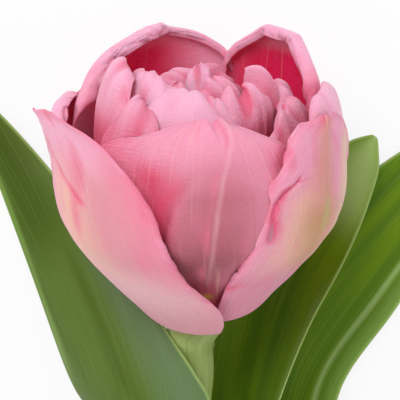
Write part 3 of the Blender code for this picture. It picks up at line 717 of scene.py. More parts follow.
# Stamen and pistil as (height, radius) pairs over the bloom's base.
STAMEN = ((RECEPTACLE_TOP + 0.3, 0.45), (14.5, 0.45), (FILAMENT_TOP, 0.35), (19.5, 0.85),
          (22.5, 0.85), (25.5, 0.595), (26.5, 0.25))
PISTIL = ((11.2, 1.5), (13.0, 2.0), (20.0, 2.1), (24.0, 1.7), (25.5, 1.3), (27.2, 2.3),
          (28.4, 0.8))
PISTIL_SIDES = 36
STIGMA_SPLIT = 0.85                 # share of the pistil's length where the stigma starts
HEART_RINGS = 40

# Each lamp: the setting that gives its level, the way to it from the bloom and its size in metres.
LAMPS = {
    "key": ("key_level", (-0.35, 0.75, 0.8), 0.5),
    "fill": ("fill_level", (0.8, -0.2, 0.7), 0.6),
    "low_fill": ("fill_level", (-0.6, -0.8, 0.5), 0.6),
}
LAMP_DISTANCE = 0.9
FLOOR_REACH = 4.0
FLOOR_DROP = 0.05 * MM              # keeps the floor just clear of what rests on it
FLOOR_GLOW = 0.85                   # share of plain white in what the camera sees of the floor
SENSOR_WIDTH = 36.0


# ---------------------------------------------------------------- the shape of a petal
LANE_POINTS = 120                   # points along a lane
LANE_STRIDE = 12                    # from one of these points to the next that shapes the midrib
TIP_POINTS = 10                     # points round the bend of the tip
TIP_START = 6.0                     # degrees at which the bend of the tip starts
CURL_BEND = 72.0                    # bend at which the tip comes in by the whole curl
RIB_POINTS = 240
ROW_CROWDING = 1.2                  # over 1, rows crowd at the tip
COLUMN_CROWDING = 1.25              # over 1, columns crowd at the margins
CREST_POWER = 2.4                   # how squarely the top edge falls off to its corners
# The waves along a margin: radians for each millimetre, how the seed shifts it, and its share.
RUFFLES = ((0.55, 1.3, 1.0), (1.45, 2.0, 0.35), (3.3, 1.0, 0.1))
RUFFLE_REACH = 2.2                  # how far in from the margin they go
THIN_RIM = 0.55                     # share of a petal's thickness that its margin keeps
THIN_RIM_REACH = 2.5
HILLS = 7                           # waves that are added up for the small soft hills
HILL_SIZES = (4.0, 11.0)            # shortest and longest of these waves


def lane_path(petal, pitch):
    """The bowl's curve moved inwards to one lane, easing to the petal's own radius higher up."""
    bowl = np.array(BOWL)
    along = unit(np.gradient(bowl, axis=0))
    inward = np.column_stack((-along[:, 1], along[:, 0]))
    depth = petal.lane * pitch
    path = bowl + depth * inward
    path = path[path[:, 0] > CLAW_RADIUS + 1.0]
    free = ease(path[:, 1], *BOWL_FREE)
    path[:, 0] += free * (petal.radius - path[:, 0])
    start = (CLAW_RADIUS, FIRST_CLAW + CLAW_STEP * depth)
    return np.vstack((start, path))


def midrib(petal, pitch, count):
    """Radius and height along the middle of a petal, from its claw to its tip."""
    path = smooth_path(lane_path(petal, pitch), LANE_POINTS)
    shoulder = petal.shoulder * petal.height
    path = path[:int(np.searchsorted(path[:, 1], shoulder, side="right"))]
    bend = np.radians(np.linspace(TIP_START, petal.bend, TIP_POINTS))
    inward = petal.curl * (1.0 - np.cos(bend)) / (1.0 - math.cos(math.radians(CURL_BEND)))
    rise = (petal.height - path[-1, 1]) / np.sin(bend).max()
    tip = np.column_stack((path[-1, 0] - inward, path[-1, 1] + rise * np.sin(bend)))
    return smooth_path(np.vstack((path[::LANE_STRIDE], path[-1:], tip)), count)


def surface_normals(points):
    """Unit normals of a grid of points, out of the side where rows run up and columns right."""
    across = np.gradient(points, axis=1)
    along = np.gradient(points, axis=0)
    return unit(np.cross(across, along))


def drift(points, reach):
    """Moves all nearby points alike, so that nested sheets wander together and never meet."""
    moved = points.copy()
    for axis, turns in enumerate(((0.11, 0.07, 0.05), (0.06, 0.10, 0.08), (0.09, 0.05, 0.07))):
        phase = points @ np.array(turns) * 2.0 + 1.7 * axis
        moved[..., axis] += reach * np.sin(phase) * ease(points[..., 2], 4.0, 20.0)
    return moved


def unevenness(side, run, seed):
    """Small soft hills over a sheet, between -1 and 1."""
    pick = np.random.RandomState(seed)
    total = np.zeros_like(side)
    for _ in range(HILLS):
        size = pick.uniform(*HILL_SIZES)
        turn = pick.uniform(0.0, math.pi)
        step = (side * math.cos(turn) + run * math.sin(turn) * 0.6) * 2.0 * math.pi / size
        total += np.sin(step + pick.uniform(0.0, 6.28))
    return total / 4.0


def fold_lift(fold, along, side, half):
    """How far a fold lifts each point of a sheet off its smooth shape."""
    offset = (side - along_curve(fold.path, along) * half) / fold.width
    shape = ease(offset, -1.0, 1.0) if fold.step else np.exp(-offset ** 2)
    return fold.depth * shape * window(along, fold.span)


def margin(half, run, side, across):
    """Distance of each point of a flat sheet from its margin, and the way out to it."""
    top = np.column_stack((across[0] * half[-1], np.full(across.shape[1], run[-1, 0])))
    left = np.column_stack((-half[:, 0], run[:, 0]))
    right = np.column_stack((half[::-1, -1], run[::-1, 0]))
    line = np.vstack((left, top[1:-1], right))
    tangent = np.gradient(line, axis=0)
    outward = np.column_stack((-tangent[:, 1], tangent[:, 0]))
    places = np.stack((side, run), axis=2).reshape(-1, 1, 2)
    distance = np.linalg.norm(line[None] - places, axis=2)
    nearest = distance.min(axis=1)
    weight = np.exp(nearest[:, None] - distance)
    way = unit(weight @ outward)
    return nearest.reshape(side.shape), way.reshape(side.shape + (2,))


def hemmed(points, rim, way, along, side, hem):
    """The points with the margin rolled in, as a hem is."""
    width = along_curve(hem.width, side) * window(along, hem.along)
    radius = np.maximum(width, 0.05) / math.radians(hem.turn)
    past = np.maximum(width - rim, 0.0)
    angle = past / radius
    normals = surface_normals(points)
    sideways = unit(np.gradient(points, axis=1))
    upward = np.cross(normals, sideways)
    outward = sideways * way[..., :1] + upward * way[..., 1:]
    return (points + outward * (radius * np.sin(angle) - past)[..., None]
            - normals * (radius * (1.0 - np.cos(angle)))[..., None])


def petal_sheet(petal, sizes, rows, columns, seed):
    """Middle points of a petal with, for each, its place on the petal and its thickness."""
    rib = midrib(petal, sizes.lane_pitch / MM, RIB_POINTS)
    rib_place = np.linspace(0.0, 1.0, len(rib))
    span = np.linalg.norm(np.diff(rib, axis=0), axis=1).sum()
    along = (1.0 - (1.0 - np.linspace(0.0, 1.0, rows + 1)) ** ROW_CROWDING)[:, None]
    even = np.linspace(-1.0, 1.0, columns + 1)[None, :]
    across = np.sign(even) * (1.0 - (1.0 - np.abs(even)) ** COLUMN_CROWDING)
    radius = np.interp(along, rib_place, rib[:, 0])
    height = np.interp(along, rib_place, rib[:, 1])
    degrees = np.where(across < 0.0, along_curve(petal.left, along),
                       along_curve(petal.right, along))
    half = np.radians(degrees) * radius
    side = across * half
    run = along * span + 0.0 * side
    rim, way = margin(half, run, side, across)

    cross = radius * (1.0 + (petal.cupping - 1.0) * ease(along, 0.35, 0.8))
    curvature = 1.0 / cross + 0.0 * side
    heading = added_up(curvature, side)
    outward = radius - added_up(np.sin(heading), side)
    sideways = added_up(np.cos(heading), side)
    facing = np.radians(petal.azimuth + petal.lean * along ** 2)
    x = outward * np.sin(facing) + sideways * np.cos(facing)
    y = -outward * np.cos(facing) + sideways * np.sin(facing)
    x = x + BLOOM_SWAY * ease(height, 0.0, 30.0)
    z = height - petal.crest * np.abs(across) ** CREST_POWER * ease(along, 0.6, 1.0)
    if petal.edge:
        z = z + along_curve(petal.edge, across) * ease(along, 0.82, 1.0)
    z = z + petal.ragged * ease(along, 0.85, 1.0) * (0.6 * np.sin(5.0 * across + seed)
                                                     + 0.4 * np.sin(12.0 * across + 2.0 * seed))
    points = np.stack(np.broadcast_arrays(x, y, z), axis=2)

    lift = petal.crinkle * unevenness(side, run, seed) * ease(along, 0.1, 0.4)
    phase = run + 0.8 * np.abs(side)
    wave = sum(share * np.sin(phase * turn + shift * seed) for turn, shift, share in RUFFLES)
    lift += (petal.ruffle * wave * np.exp(-rim / RUFFLE_REACH) * ease(along, 0.2, 0.45)
             * np.sign(across))
    if petal.pleats:
        turn = math.pi * (side + 0.9 * np.sin(0.19 * run + seed)) / petal.pleat_width
        lift += (petal.pleats * (0.64 - np.abs(np.sin(turn + 0.8 * seed)))
                 * ease(along, 0.45, 0.75))
    raised = np.zeros_like(lift)
    for fold in petal.folds:
        if fold.step:
            raised += fold_lift(fold, along, side, half)
        else:
            lift += fold_lift(fold, along, side, half)
    points = points + surface_normals(points) * (lift + raised)[..., None]
    for hem in petal.hems:
        points = hemmed(points, rim, way, along, side, hem)
    points = drift(points, sizes.wander / MM)
    thick = sizes.petal_thickness / MM * (THIN_RIM + (1.0 - THIN_RIM)
                                          * ease(rim, 0.0, THIN_RIM_REACH))
    thick = thick * (1.0 - 0.15 * ease(along, 0.7, 1.0))
    return points, thick, (along + 0.0 * side, across + 0.0 * side, rim), (side, run), lift


# ---------------------------------------------------------------- meshes
def new_piece(name, verts, faces, attributes, finish, place=None):
    """A smooth mesh object in metres, with its three-number attributes."""
    mesh = bpy.data.meshes.new(name)
    mesh.from_pydata(np.asarray(verts).tolist(), [], faces)
    if place is not None:
        mesh.transform(place)
    for label, values in attributes.items():
        layer = mesh.attributes.new(label, "FLOAT_VECTOR", "POINT")
        layer.data.foreach_set("vector", np.asarray(values, dtype=np.float32).ravel())
    mesh.materials.append(finish.material)
    mesh.shade_smooth()
    if mesh.validate():
        raise RuntimeError(f"{name} has faces that Blender had to mend")
    piece = bpy.data.objects.new(name, mesh)
    bpy.context.collection.objects.link(piece)
    return piece


def border(rows, columns):
    """Indices of a grid's outermost points, once round."""
    width = columns + 1
    bottom = list(range(columns))
    right = [row * width + columns for row in range(rows)]
    top = [rows * width + column for column in range(columns, 0, -1)]
    left = [row * width for row in range(rows, 0, -1)]
    return bottom + right + top + left


def sheet_piece(name, points, thick, tissue, span, lift, finish, place=None):
    """A closed sheet with two faces and a round rim over a grid of middle points."""
    rows, columns = points.shape[0] - 1, points.shape[1] - 1
    normals = surface_normals(points)
    half = 0.5 * thick[..., None]
    outer = (points + normals * half).reshape(-1, 3)
    inner = (points - normals * half).reshape(-1, 3)
    count = len(outer)
    ring = np.array(border(rows, columns))
    row, column = np.divmod(ring, columns + 1)
    inside = points[np.clip(row, 1, rows - 1), np.clip(column, 1, columns - 1)]
    middle = points.reshape(-1, 3)[ring]
    edge = middle + unit(middle - inside) * half.reshape(-1, 1)[ring]
    verts = np.vstack((outer, inner, edge)) * MM
    faces = []
    for r in range(rows):
        for c in range(columns):
            corner = r * (columns + 1) + c
            quad = (corner, corner + 1, corner + columns + 2, corner + columns + 1)
            faces.append(quad)
            faces.append(tuple(count + i for i in reversed(quad)))
    total = len(ring)
    for step in range(total):
        here, after = int(ring[step]), int(ring[(step + 1) % total])
        low, high = 2 * count + step, 2 * count + (step + 1) % total
        faces.append((after, here, low, high))
        faces.append((high, low, count + here, count + after))
    tissue = np.stack(tissue, axis=2).reshape(-1, 3)
    side, run = (value.reshape(-1) for value in span)
    spans = [np.column_stack((side, run, np.full(count, face))) for face in (1.0, 0.0)]
    spans.append(np.column_stack((side[ring], run[ring], np.full(total, 0.5))))
    relief = np.column_stack((lift.reshape(-1), np.zeros((count, 2))))
    attributes = {"tissue": np.vstack((tissue, tissue, tissue[ring])), "span": np.vstack(spans),
                  "relief": np.vstack((relief, relief, relief[ring]))}
    return new_piece(name, verts, faces, attributes, finish, place)


def tube_piece(name, centres, radii, sides, finish, place=None, lobes=0, lobe_depth=0.0):
    """A closed round body along a line of centres, with its place along and round it."""
    centres = [Vector(centre) for centre in centres]
    total = sum((b - a).length for a, b in zip(centres, centres[1:]))
    verts, tissue, spans, run = [], [], [], 0.0
    for index, (centre, radius) in enumerate(zip(centres, radii)):
        before = centres[max(index - 1, 0)]
        after = centres[min(index + 1, len(centres) - 1)]
        turn = (after - before).to_track_quat("Z", "Y")
        run += (centre - before).length
        for step in range(sides):
            angle = 2.0 * math.pi * step / sides
            reach = radius * (1.0 + lobe_depth * math.cos(lobes * angle))
            spoke = Vector((reach * math.cos(angle), reach * math.sin(angle), 0.0))
            verts.append((centre + turn @ spoke) * MM)
            tissue.append((run / total, math.sin(angle), math.cos(angle)))
            spans.append((0.0, run, 0.0))
    faces = []
    for ring in range(len(centres) - 1):
        for step in range(sides):
            here, after = ring * sides + step, ring * sides + (step + 1) % sides
            faces.append((here, after, after + sides, here + sides))
    last = (len(centres) - 1) * sides
    faces.append(tuple(reversed(range(sides))))
    faces.append(tuple(range(last, last + sides)))
    return new_piece(name, verts, faces, {"tissue": tissue, "span": spans}, finish, place)


def settle(piece, node, slot):
    """Hand a finished piece to the frame in the place of its solid."""
    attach(piece, "root")
    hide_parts(node)


# ---------------------------------------------------------------- finishes
def curve_value(finish, pairs, value):
    """The value of a curve through pairs, read by a signal."""
    node = finish.add("ShaderNodeFloatCurve", None, {"Value": value}).socket.node
    curve = node.mapping.curves[0]
    low = min(place for _, place in pairs)
    reach = max(max(place for _, place in pairs) - low, 1e-3)
    for index, (at, place) in enumerate(pairs):
        if index < 2:
            curve.points[index].location = (at, (place - low) / reach)
        else:
            curve.points.new(at, (place - low) / reach)
    node.mapping.update()
    return Signal(finish, node.outputs[0]) * reach + low


def washed(finish, under, washes, inside, colours, place, cloud):
    """A colour with the soft patches of one side of a sheet laid on it, one after another."""
    along, across = place
    for wash in washes:
        if wash.inside != inside:
            continue
        start, full, fade, end = wash.along
        if len({middle for _, middle in wash.path}) > 1:
            middle = curve_value(finish, wash.path, along)
        else:
            middle = wash.path[0][1]
        offset = abs(across - middle) + (cloud - 0.5) * (0.3 * wash.width)
        mask = (finish.ease(offset, wash.width, 0.0) * finish.ease(along, start, full)
                * finish.ease(along, end, fade))
        under = finish.mix(under, getattr(colours, wash.tint), mask * wash.strength)
    return under


def petal_finish(petal, seed, colours):
    """Petal tissue: painted highlight above, painted shade low down and in creases, rose at the
    margin, streaked by veins and washed in patches.
    """
    finish = Finish(petal.name + "_tissue", Roughness=0.5, Specular_IOR_Level=0.3,
                    Subsurface_Weight=0.3, Subsurface_Scale=0.002,
                    Subsurface_Radius=(1.0, 0.3, 0.4), Sheen_Weight=0.08, Sheen_Roughness=0.4)
    along, across, rim = finish.parts("tissue")
    side, run, face = finish.parts("span")
    lift, _, _ = finish.parts("relief")
    fibre = finish.noise(across * 26.0, along * 1.6, seed, detail=3.0)
    line = finish.noise(across * 60.0, along * 1.1, seed + 3.0, detail=2.0)
    cloud = finish.noise(side * 0.16, run * 0.11, seed + 7.0)
    fleck = finish.noise(side * 1.4, run * 0.7, seed + 13.0, detail=3.0)
    wrinkle = finish.noise(side * 0.5, run * 2.2, seed + 17.0, detail=3.0)

    outside = colours.pink
    # Painted shade: rose, then crimson-pink, over the lower part that neighbouring petals hide.
    if petal.shade:
        low = petal.shade_line
        outside = finish.laid(outside, colours.rose, along + cloud * 0.1, low + 0.34, low + 0.1,
                              petal.shade)
        outside = finish.laid(outside, colours.cerise_shade, along, low + 0.08, low - 0.12, petal.shade)
    # Painted highlight: pale over the upper part, where the tips catch the light.
    outside = finish.laid(outside, colours.pale, along + cloud * 0.3, 0.9, 1.14, petal.tip_highlight)
    place = (along, across)
    outside = washed(finish, outside, petal.washes, False, colours, place, cloud)
    outside = finish.mix(outside, colours.rose,
                         finish.ease(rim, 2.2, 0.0) * finish.ease(along, 0.15, 0.5)
                         * petal.blush * 0.7)
    # The inner face: its own deep crimson, laid further in from the rim also as painted shade, with
    # rose near the rim.
    inside = finish.mix(colours.crimson, colours.rose, finish.ease(rim, 9.0, 1.0))
    inside = washed(finish, inside, petal.washes, True, colours, place, cloud)
    tissue = finish.mix(inside, outside, face)
    # Painted shade where the sheet sinks into a crease, rose then crimson-pink, and a painted
    # highlight, pale on the outer face, where it rises.
    tissue = finish.laid(tissue, colours.rose, lift, -0.03, -0.25, 0.7)
    tissue = finish.laid(tissue, colours.cerise_shade, lift, -0.18, -0.4, 0.5)
    tissue = finish.laid(tissue, colours.pale, lift, 0.1, 0.4, face * 0.4)
    tissue = finish.laid(tissue, colours.cream, fibre, 0.55, 0.8, petal.veins * 0.5)
    tissue = finish.laid(tissue, colours.mauve, line, 0.42, 0.2, petal.veins * 0.5)
    tissue = finish.laid(tissue, colours.rose, fleck, 0.55, 0.75, 0.18)
    finish.feed("Base Color", tissue)
    finish.feed("Roughness", 0.42 + cloud * 0.2)
    finish.relief(fibre * 0.5 + fleck * 0.25 + wrinkle * 0.4, 0.0006, 0.7)
    return finish


def leaf_finish(name, leaf, seed, colours):
    """Leaf tissue: waxy grey-green with parallel veins and a thin pale rim."""
    finish = Finish(name + "_tissue", Specular_IOR_Level=0.15, Subsurface_Weight=0.15,
                    Subsurface_Scale=0.002, Subsurface_Radius=(0.6, 1.0, 0.2))
    along, across, rim = finish.parts("tissue")
    side, run, face = finish.parts("span")
    vein = finish.noise(side * 2.4, run * 0.02, seed, detail=3.0)
    band = finish.noise(side * 0.25, run * 0.018, seed + 5.0)
    place = (along, across)
    upper = finish.mix(colours.deep, colours.bright, finish.ease(band, 0.3, 0.7))
    upper = washed(finish, upper, leaf.washes, False, colours, place, band)
    under = finish.laid(colours.bloom, colours.moss, band, 0.45, 0.75, 0.4)
    under = washed(finish, under, leaf.washes, True, colours, place, band)
    tissue = finish.mix(under, upper, face)
    tissue = finish.laid(tissue, colours.rim, rim, 0.6, 0.0, 0.8)
    tissue = finish.laid(tissue, colours.rim, vein, 0.5, 0.75, 0.12)
    tissue = finish.laid(tissue, colours.deep, vein, 0.45, 0.2, 0.15)
    finish.feed("Base Color", tissue)
    finish.feed("Roughness", 0.42 + band * 0.2)
    finish.relief(vein, 0.0003, 0.5)
    return finish


def stem_finish(colours):
    """Skin of the stem with faint streaks along it, and pith at the cut."""
    finish = Finish("stem_skin", Specular_IOR_Level=0.4)
    _, sine, cosine = finish.parts("tissue")
    _, run, _ = finish.parts("span")
    streak = finish.noise(sine * 6.0, run * 0.03, cosine * 6.0, detail=3.0)
    tissue = finish.laid(colours.stem, colours.bloom, streak, 0.4, 0.7, 0.3)
    tissue = finish.laid(tissue, colours.bright, streak, 0.45, 0.25, 0.15)
    tissue = finish.mix(colours.pith, tissue, finish.ease(run, 0.0, 0.6))
    finish.feed("Base Color", tissue)
    finish.feed("Roughness", 0.42 + streak * 0.15)
    finish.relief(streak, 0.0002, 0.4)
    return finish


def heart_finish(name, low, high, split):
    """Tissue of the stamens and the pistil, which changes colour at a share of the length."""
    finish = Finish(name, Specular_IOR_Level=0.3)
    along, sine, cosine = finish.parts("tissue")
    grain = finish.noise(sine * 4.0, along * 30.0, cosine * 4.0, detail=4.0)
    tissue = finish.mix(low, high, finish.ease(along, split - 0.04, split + 0.04))
    tissue = finish.laid(tissue, low, grain, 0.45, 0.7, 0.4)
    finish.feed("Base Color", tissue)
    finish.feed("Roughness", 0.6 + grain * 0.2)
    finish.relief(grain, 0.0002, 0.6)
    return finish


# ---------------------------------------------------------------- stem and leaves
def stem_line(distance):
    """Middle of the stem at a distance below the bloom's base, in millimetres."""
    share = distance / STEM_LENGTH
    base = BLOOM_BASE / MM
    kink = math.exp(-((distance - STEM_KINK_PLACE) / STEM_KINK_RUN) ** 2)
    sideways = -STEM_BOW * math.sin(math.pi * share ** STEM_BOW_RISE) - STEM_KINK * kink
    height = base.z + (STEM_RADIUS_CUT - base.z) * share + math.sin(2.0 * math.pi * share)
    return Vector((base.x + sideways, base.y - distance * math.cos(BLOOM_TILT), height))


def hugging(side, anchor, y, width, cross, facing):
    """Where a leaf's line runs when its arc is centred on the stem."""
    core = stem_line(-y / math.cos(BLOOM_TILT))
    turn = math.radians(facing) + side * anchor * width / cross
    return core.x + side * cross * math.sin(turn), core.z - cross * math.cos(turn)


def leaf_line(side, anchor, stations):
    """A leaf's line in world millimetres, with its half-width, cross radius and facing."""
    base = BLOOM_BASE / MM
    filled = []
    for x, y, z, width, cross, facing in stations:
        if z is None:
            x, z = hugging(side, anchor, y, width, cross, facing)
        else:
            x = base.x + side * x
        filled.append((x, base.y + y, z, width, cross, facing))
    return smooth_path(filled, LEAF_ROWS + 1)


def leaf_sheet(leaf, side_sign, anchor, stations, sizes, seed):
    """Middle points of a leaf with, for each, its place on the leaf and its thickness."""
    rows = leaf_line(side_sign, anchor, stations)
    line = rows[:, :3]
    forward = unit(np.gradient(line, axis=0))
    across = np.linspace(-1.0, 1.0, LEAF_COLUMNS + 1)
    side = rows[:, 3:4] * across
    share = np.linspace(0.0, 1.0, LEAF_ROWS + 1)[:, None] + 0.0 * side
    step = np.linalg.norm(np.diff(line, axis=0), axis=1)
    run = np.concatenate(([0.0], np.cumsum(step)))[:, None] + 0.0 * side
    rim = rows[:, 3:4] - np.abs(side)
    curvature = 1.0 / rows[:, 4:5] + 0.0 * side
    heading = added_up(curvature, side)
    out, rise = added_up(np.cos(heading), side), added_up(np.sin(heading), side)
    column = round((anchor + 1.0) * 0.5 * LEAF_COLUMNS)
    out -= out[:, column:column + 1]
    rise -= rise[:, column:column + 1]
    turn = np.radians(rows[:, 5])
    up = np.column_stack((-side_sign * np.sin(turn), 0.0 * turn, np.cos(turn)))
    up = unit(up - forward * np.sum(up * forward, axis=1)[:, None])
    sideways = np.cross(forward, up)
    points = (line[:, None, :] + out[..., None] * sideways[:, None, :]
              + rise[..., None] * up[:, None, :])
    pull = (LEAF_PULL * np.abs(across - anchor))[None, :, None]
    for _ in range(leaf.easing):
        points[1:-1] += pull * (points[:-2] + points[2:] - 2.0 * points[1:-1])
    lift = LEAF_SWAY * unevenness(side * 0.5, run * 0.25, seed) * ease(share, 0.15, 0.4)
    points = points + surface_normals(points) * lift[..., None]
    thick = sizes.leaf_thickness / MM * (0.45 + 0.55 * ease(rim, 0.0, 3.0))
    points[:, :, 2] = np.maximum(points[:, :, 2], 0.5 * thick)
    return points, thick, (share, across[None, :] + 0.0 * side, rim), (side, run), lift


# ---------------------------------------------------------------- operators
def grow_petals(context, petals, first_seed, rows, columns):
    """Each petal of a table as a finished piece in the place of its solid."""
    sizes, colours = context.scene.tulip_sizes, context.scene.tulip_petals
    for seed, petal in enumerate(petals, start=first_seed):
        sheet = petal_sheet(petal, sizes, rows, columns, seed)
        finish = petal_finish(petal, float(seed), colours)
        piece = sheet_piece(petal.name + "_fine", *sheet, finish, BLOOM_MATRIX)
        settle(piece, petal.name, "petal_outer" if petal.lane <= OUTER_LANES else "petal_inner")


class TULIP_OT_outer_petals(Operator):
    """Grow the broad petals of the bowl"""

    bl_idname = "tulip.outer_petals"
    bl_label = "Outer Petals"

    def execute(self, context):
        sizes = context.scene.tulip_sizes
        grow_petals(context, OUTER_PETALS, 0, sizes.outer_rows, sizes.outer_columns)
        return {"FINISHED"}


class TULIP_OT_inner_petals(Operator):
    """Grow the crowd of hooded petals inside the bowl"""

    bl_idname = "tulip.inner_petals"
    bl_label = "Inner Petals"

    def execute(self, context):
        sizes = context.scene.tulip_sizes
        grow_petals(context, INNER_PETALS, len(OUTER_PETALS), sizes.inner_rows,
                    sizes.inner_columns)
        return {"FINISHED"}


class TULIP_OT_leaves(Operator):
    """Grow the three leaves that clasp the stem"""

    bl_idname = "tulip.leaves"
    bl_label = "Leaves"

    def execute(self, context):
        sizes, colours = context.scene.tulip_sizes, context.scene.tulip_greens
        for seed, (name, (side, anchor, stations)) in enumerate(LEAVES.items()):
            leaf = LEAF_LOOKS[name]
            sheet = leaf_sheet(leaf, side, anchor, stations, sizes, seed + FIRST_LEAF_SEED)
            finish = leaf_finish(name, leaf, float(seed), colours)
            settle(sheet_piece(name + "_fine", *sheet, finish), name, "leaf")
        return {"FINISHED"}


class TULIP_OT_stem(Operator):
    """Grow the stem with the short column that carries the petals"""

    bl_idname = "tulip.stem"
    bl_label = "Stem"

    def execute(self, context):
        colours = context.scene.tulip_greens
        distances = np.linspace(STEM_LENGTH, STEM_SHAFT_TOP, STEM_RINGS)
        centres = [stem_line(distance) for distance in distances]
        radii = [STEM_RADIUS_TOP + (STEM_RADIUS_CUT - STEM_RADIUS_TOP) * distance / STEM_LENGTH
                 + STEM_FLARE * math.exp(-distance / STEM_FLARE_RUN) for distance in distances]
        for height, shift, radius in STEM_HEAD:
            centre = (BLOOM_BASE + BLOOM_AXIS * height * MM) / MM
            centres.append(centre + Vector((shift, 0.0, 0.0)))
            radii.append(radius)
        piece = tube_piece("stem_fine", centres, radii, STEM_SIDES, stem_finish(colours))
        settle(piece, "stem", "stem")
        return {"FINISHED"}


class TULIP_OT_heart(Operator):
    """Grow the six stamens and the pistil"""

    bl_idname = "tulip.heart"
    bl_label = "Stamens and Pistil"

    def execute(self, context):
        colours = context.scene.tulip_heart
        pollen = heart_finish("stamen_tissue", colours.filament, colours.anther, ANTHER_SPLIT)
        profile = smooth_path(STAMEN, HEART_RINGS)
        spread = STAMEN_RING + STAMEN_SPREAD * ease(profile[:, 0], RECEPTACLE_TOP, FILAMENT_TOP)
        for number in range(STAMENS):
            angle = math.radians(FIRST_STAMEN_TURN + 360.0 * number / STAMENS)
            outward = Vector((math.sin(angle), -math.cos(angle), 0.0))
            centres = [outward * float(reach) + Vector((0.0, 0.0, float(height)))
                       for reach, height in zip(spread, profile[:, 0])]
            name = f"stamen_{number + 1}"
            piece = tube_piece(name + "_fine", centres, profile[:, 1], STAMEN_SIDES, pollen,
                               BLOOM_MATRIX, lobes=2, lobe_depth=0.1)
            settle(piece, name, "stamen")
        ovary = heart_finish("pistil_tissue", colours.pistil, colours.stigma, STIGMA_SPLIT)
        profile = smooth_path(PISTIL, HEART_RINGS)
        centres = [Vector((0.0, 0.0, float(height))) for height in profile[:, 0]]
        piece = tube_piece("pistil_fine", centres, profile[:, 1], PISTIL_SIDES, ovary,
                           BLOOM_MATRIX, lobes=3, lobe_depth=0.08)
        settle(piece, "pistil", "pistil")
        return {"FINISHED"}


def soft_lamp(name, level, direction, size, target):
    """A square lamp that makes a white surface facing it as bright as its level says."""
    lamp = bpy.data.lights.new(name, "AREA")
    lamp.energy = level * (math.pi * LAMP_DISTANCE) ** 2
    lamp.size = size
    holder = bpy.data.objects.new(name, lamp)
    away = Vector(direction).normalized()
    holder.location = target + away * LAMP_DISTANCE
    holder.rotation_euler = away.to_track_quat("Z", "Y").to_euler()
    bpy.context.collection.objects.link(holder)


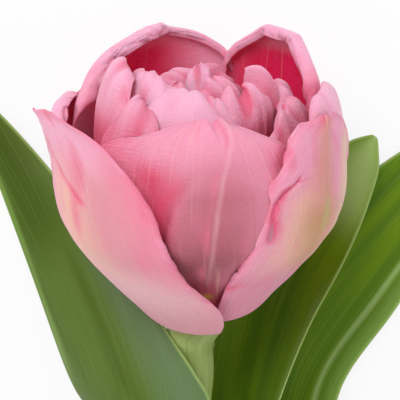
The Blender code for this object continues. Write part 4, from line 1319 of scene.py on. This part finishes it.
class TULIP_OT_stage(Operator):
    """Set the floor, the lights and the camera"""

    bl_idname = "tulip.stage"
    bl_label = "Stage"

    def floor(self):
        """A pale floor that the camera and gloss see nearly white, with its shadow."""
        finish = Finish("pale_floor", Roughness=0.9)
        finish.feed("Base Color", (0.9, 0.9, 0.9))
        rays = finish.add("ShaderNodeLightPath", output="Is Camera Ray")
        glossy = finish.add("ShaderNodeLightPath", output="Is Glossy Ray")
        bright = finish.add("ShaderNodeEmission", None, {"Color": (1, 1, 1), "Strength": 1.0})
        shares = finish.add("ShaderNodeMixShader", None,
                            {0: (rays + glossy) * FLOOR_GLOW,
                             1: Signal(finish, finish.surface.outputs[0]), 2: bright})
        finish.connect(shares, finish.tree.nodes["Material Output"].inputs["Surface"])
        mesh = bpy.data.meshes.new("floor")
        corners = [(x * FLOOR_REACH, y * FLOOR_REACH, -FLOOR_DROP)
                   for x, y in ((-1, -1), (1, -1), (1, 1), (-1, 1))]
        mesh.from_pydata(corners, [], [(0, 1, 2, 3)])
        mesh.materials.append(finish.material)
        floor = bpy.data.objects.new("floor", mesh)
        bpy.context.collection.objects.link(floor)

    def sky(self, level):
        """A soft even sky, plain white to the camera."""
        world = bpy.data.worlds.new("soft_sky")
        bpy.context.scene.world = world
        world.use_nodes = True
        nodes = Nodes(world.node_tree)
        background = nodes.tree.nodes["Background"]
        nodes.connect((1, 1, 1), background.inputs["Color"])
        rays = nodes.add("ShaderNodeLightPath", output="Is Camera Ray")
        strength = nodes.add("ShaderNodeMapRange", None,
                             {"Value": rays, "To Min": level, "To Max": 1.0})
        nodes.connect(strength, background.inputs["Strength"])

    def camera(self, stage):
        """The camera, turned with the bloom so that the bloom stands upright in the view."""
        rise = stage.view_rise - BLOOM_TILT
        toward = Vector((0.0, math.sin(rise), math.cos(rise)))
        up = Vector((0.0, math.cos(rise), -math.sin(rise)))
        across = Vector((1.0, 0.0, 0.0))
        target = BLOOM_BASE + across * stage.view_side + up * stage.view_height
        lens = bpy.data.cameras.new("view")
        lens.sensor_width = SENSOR_WIDTH
        lens.lens = SENSOR_WIDTH * stage.view_distance / stage.view_width
        lens.clip_start, lens.clip_end = 0.01, 20.0
        camera = bpy.data.objects.new("view", lens)
        turn = Matrix((across, up, toward)).transposed().to_4x4()
        camera.matrix_world = Matrix.Translation(target + toward * stage.view_distance) @ turn
        bpy.context.collection.objects.link(camera)
        bpy.context.scene.camera = camera
        return target

    def execute(self, context):
        stage = context.scene.tulip_stage
        target = self.camera(stage)
        self.floor()
        self.sky(stage.sky_level)
        for name, (level, direction, size) in LAMPS.items():
            soft_lamp(name, getattr(stage, level), direction, size, target)
        context.scene.view_settings.view_transform = "Standard"
        return {"FINISHED"}


class TULIP_PT_panel(Panel):
    """The steps that grow the flower, in order"""

    bl_idname = "TULIP_PT_panel"
    bl_label = "Double Tulip"
    bl_space_type = "VIEW_3D"
    bl_region_type = "UI"
    bl_category = "Tulip"

    def draw(self, context):
        for step in STEPS:
            self.layout.operator(step.bl_idname)


STEPS = (TULIP_OT_outer_petals, TULIP_OT_inner_petals, TULIP_OT_leaves, TULIP_OT_stem,
         TULIP_OT_heart, TULIP_OT_stage)
GROUPS = {"tulip_sizes": TulipSizes, "tulip_petals": PetalColours, "tulip_greens": GreenColours,
          "tulip_heart": HeartColours, "tulip_stage": StageSettings}


def register():
    for label, group in GROUPS.items():
        bpy.utils.register_class(group)
        setattr(bpy.types.Scene, label, PointerProperty(type=group))
    for step in STEPS:
        bpy.utils.register_class(step)
    bpy.utils.register_class(TULIP_PT_panel)


def unregister():
    bpy.utils.unregister_class(TULIP_PT_panel)
    for step in reversed(STEPS):
        bpy.utils.unregister_class(step)
    for label, group in GROUPS.items():
        delattr(bpy.types.Scene, label)
        bpy.utils.unregister_class(group)


def main():
    register()
    for step in STEPS:
        group, operation = step.bl_idname.split(".")
        getattr(getattr(bpy.ops, group), operation)()


if __name__ == "__main__":
    main()
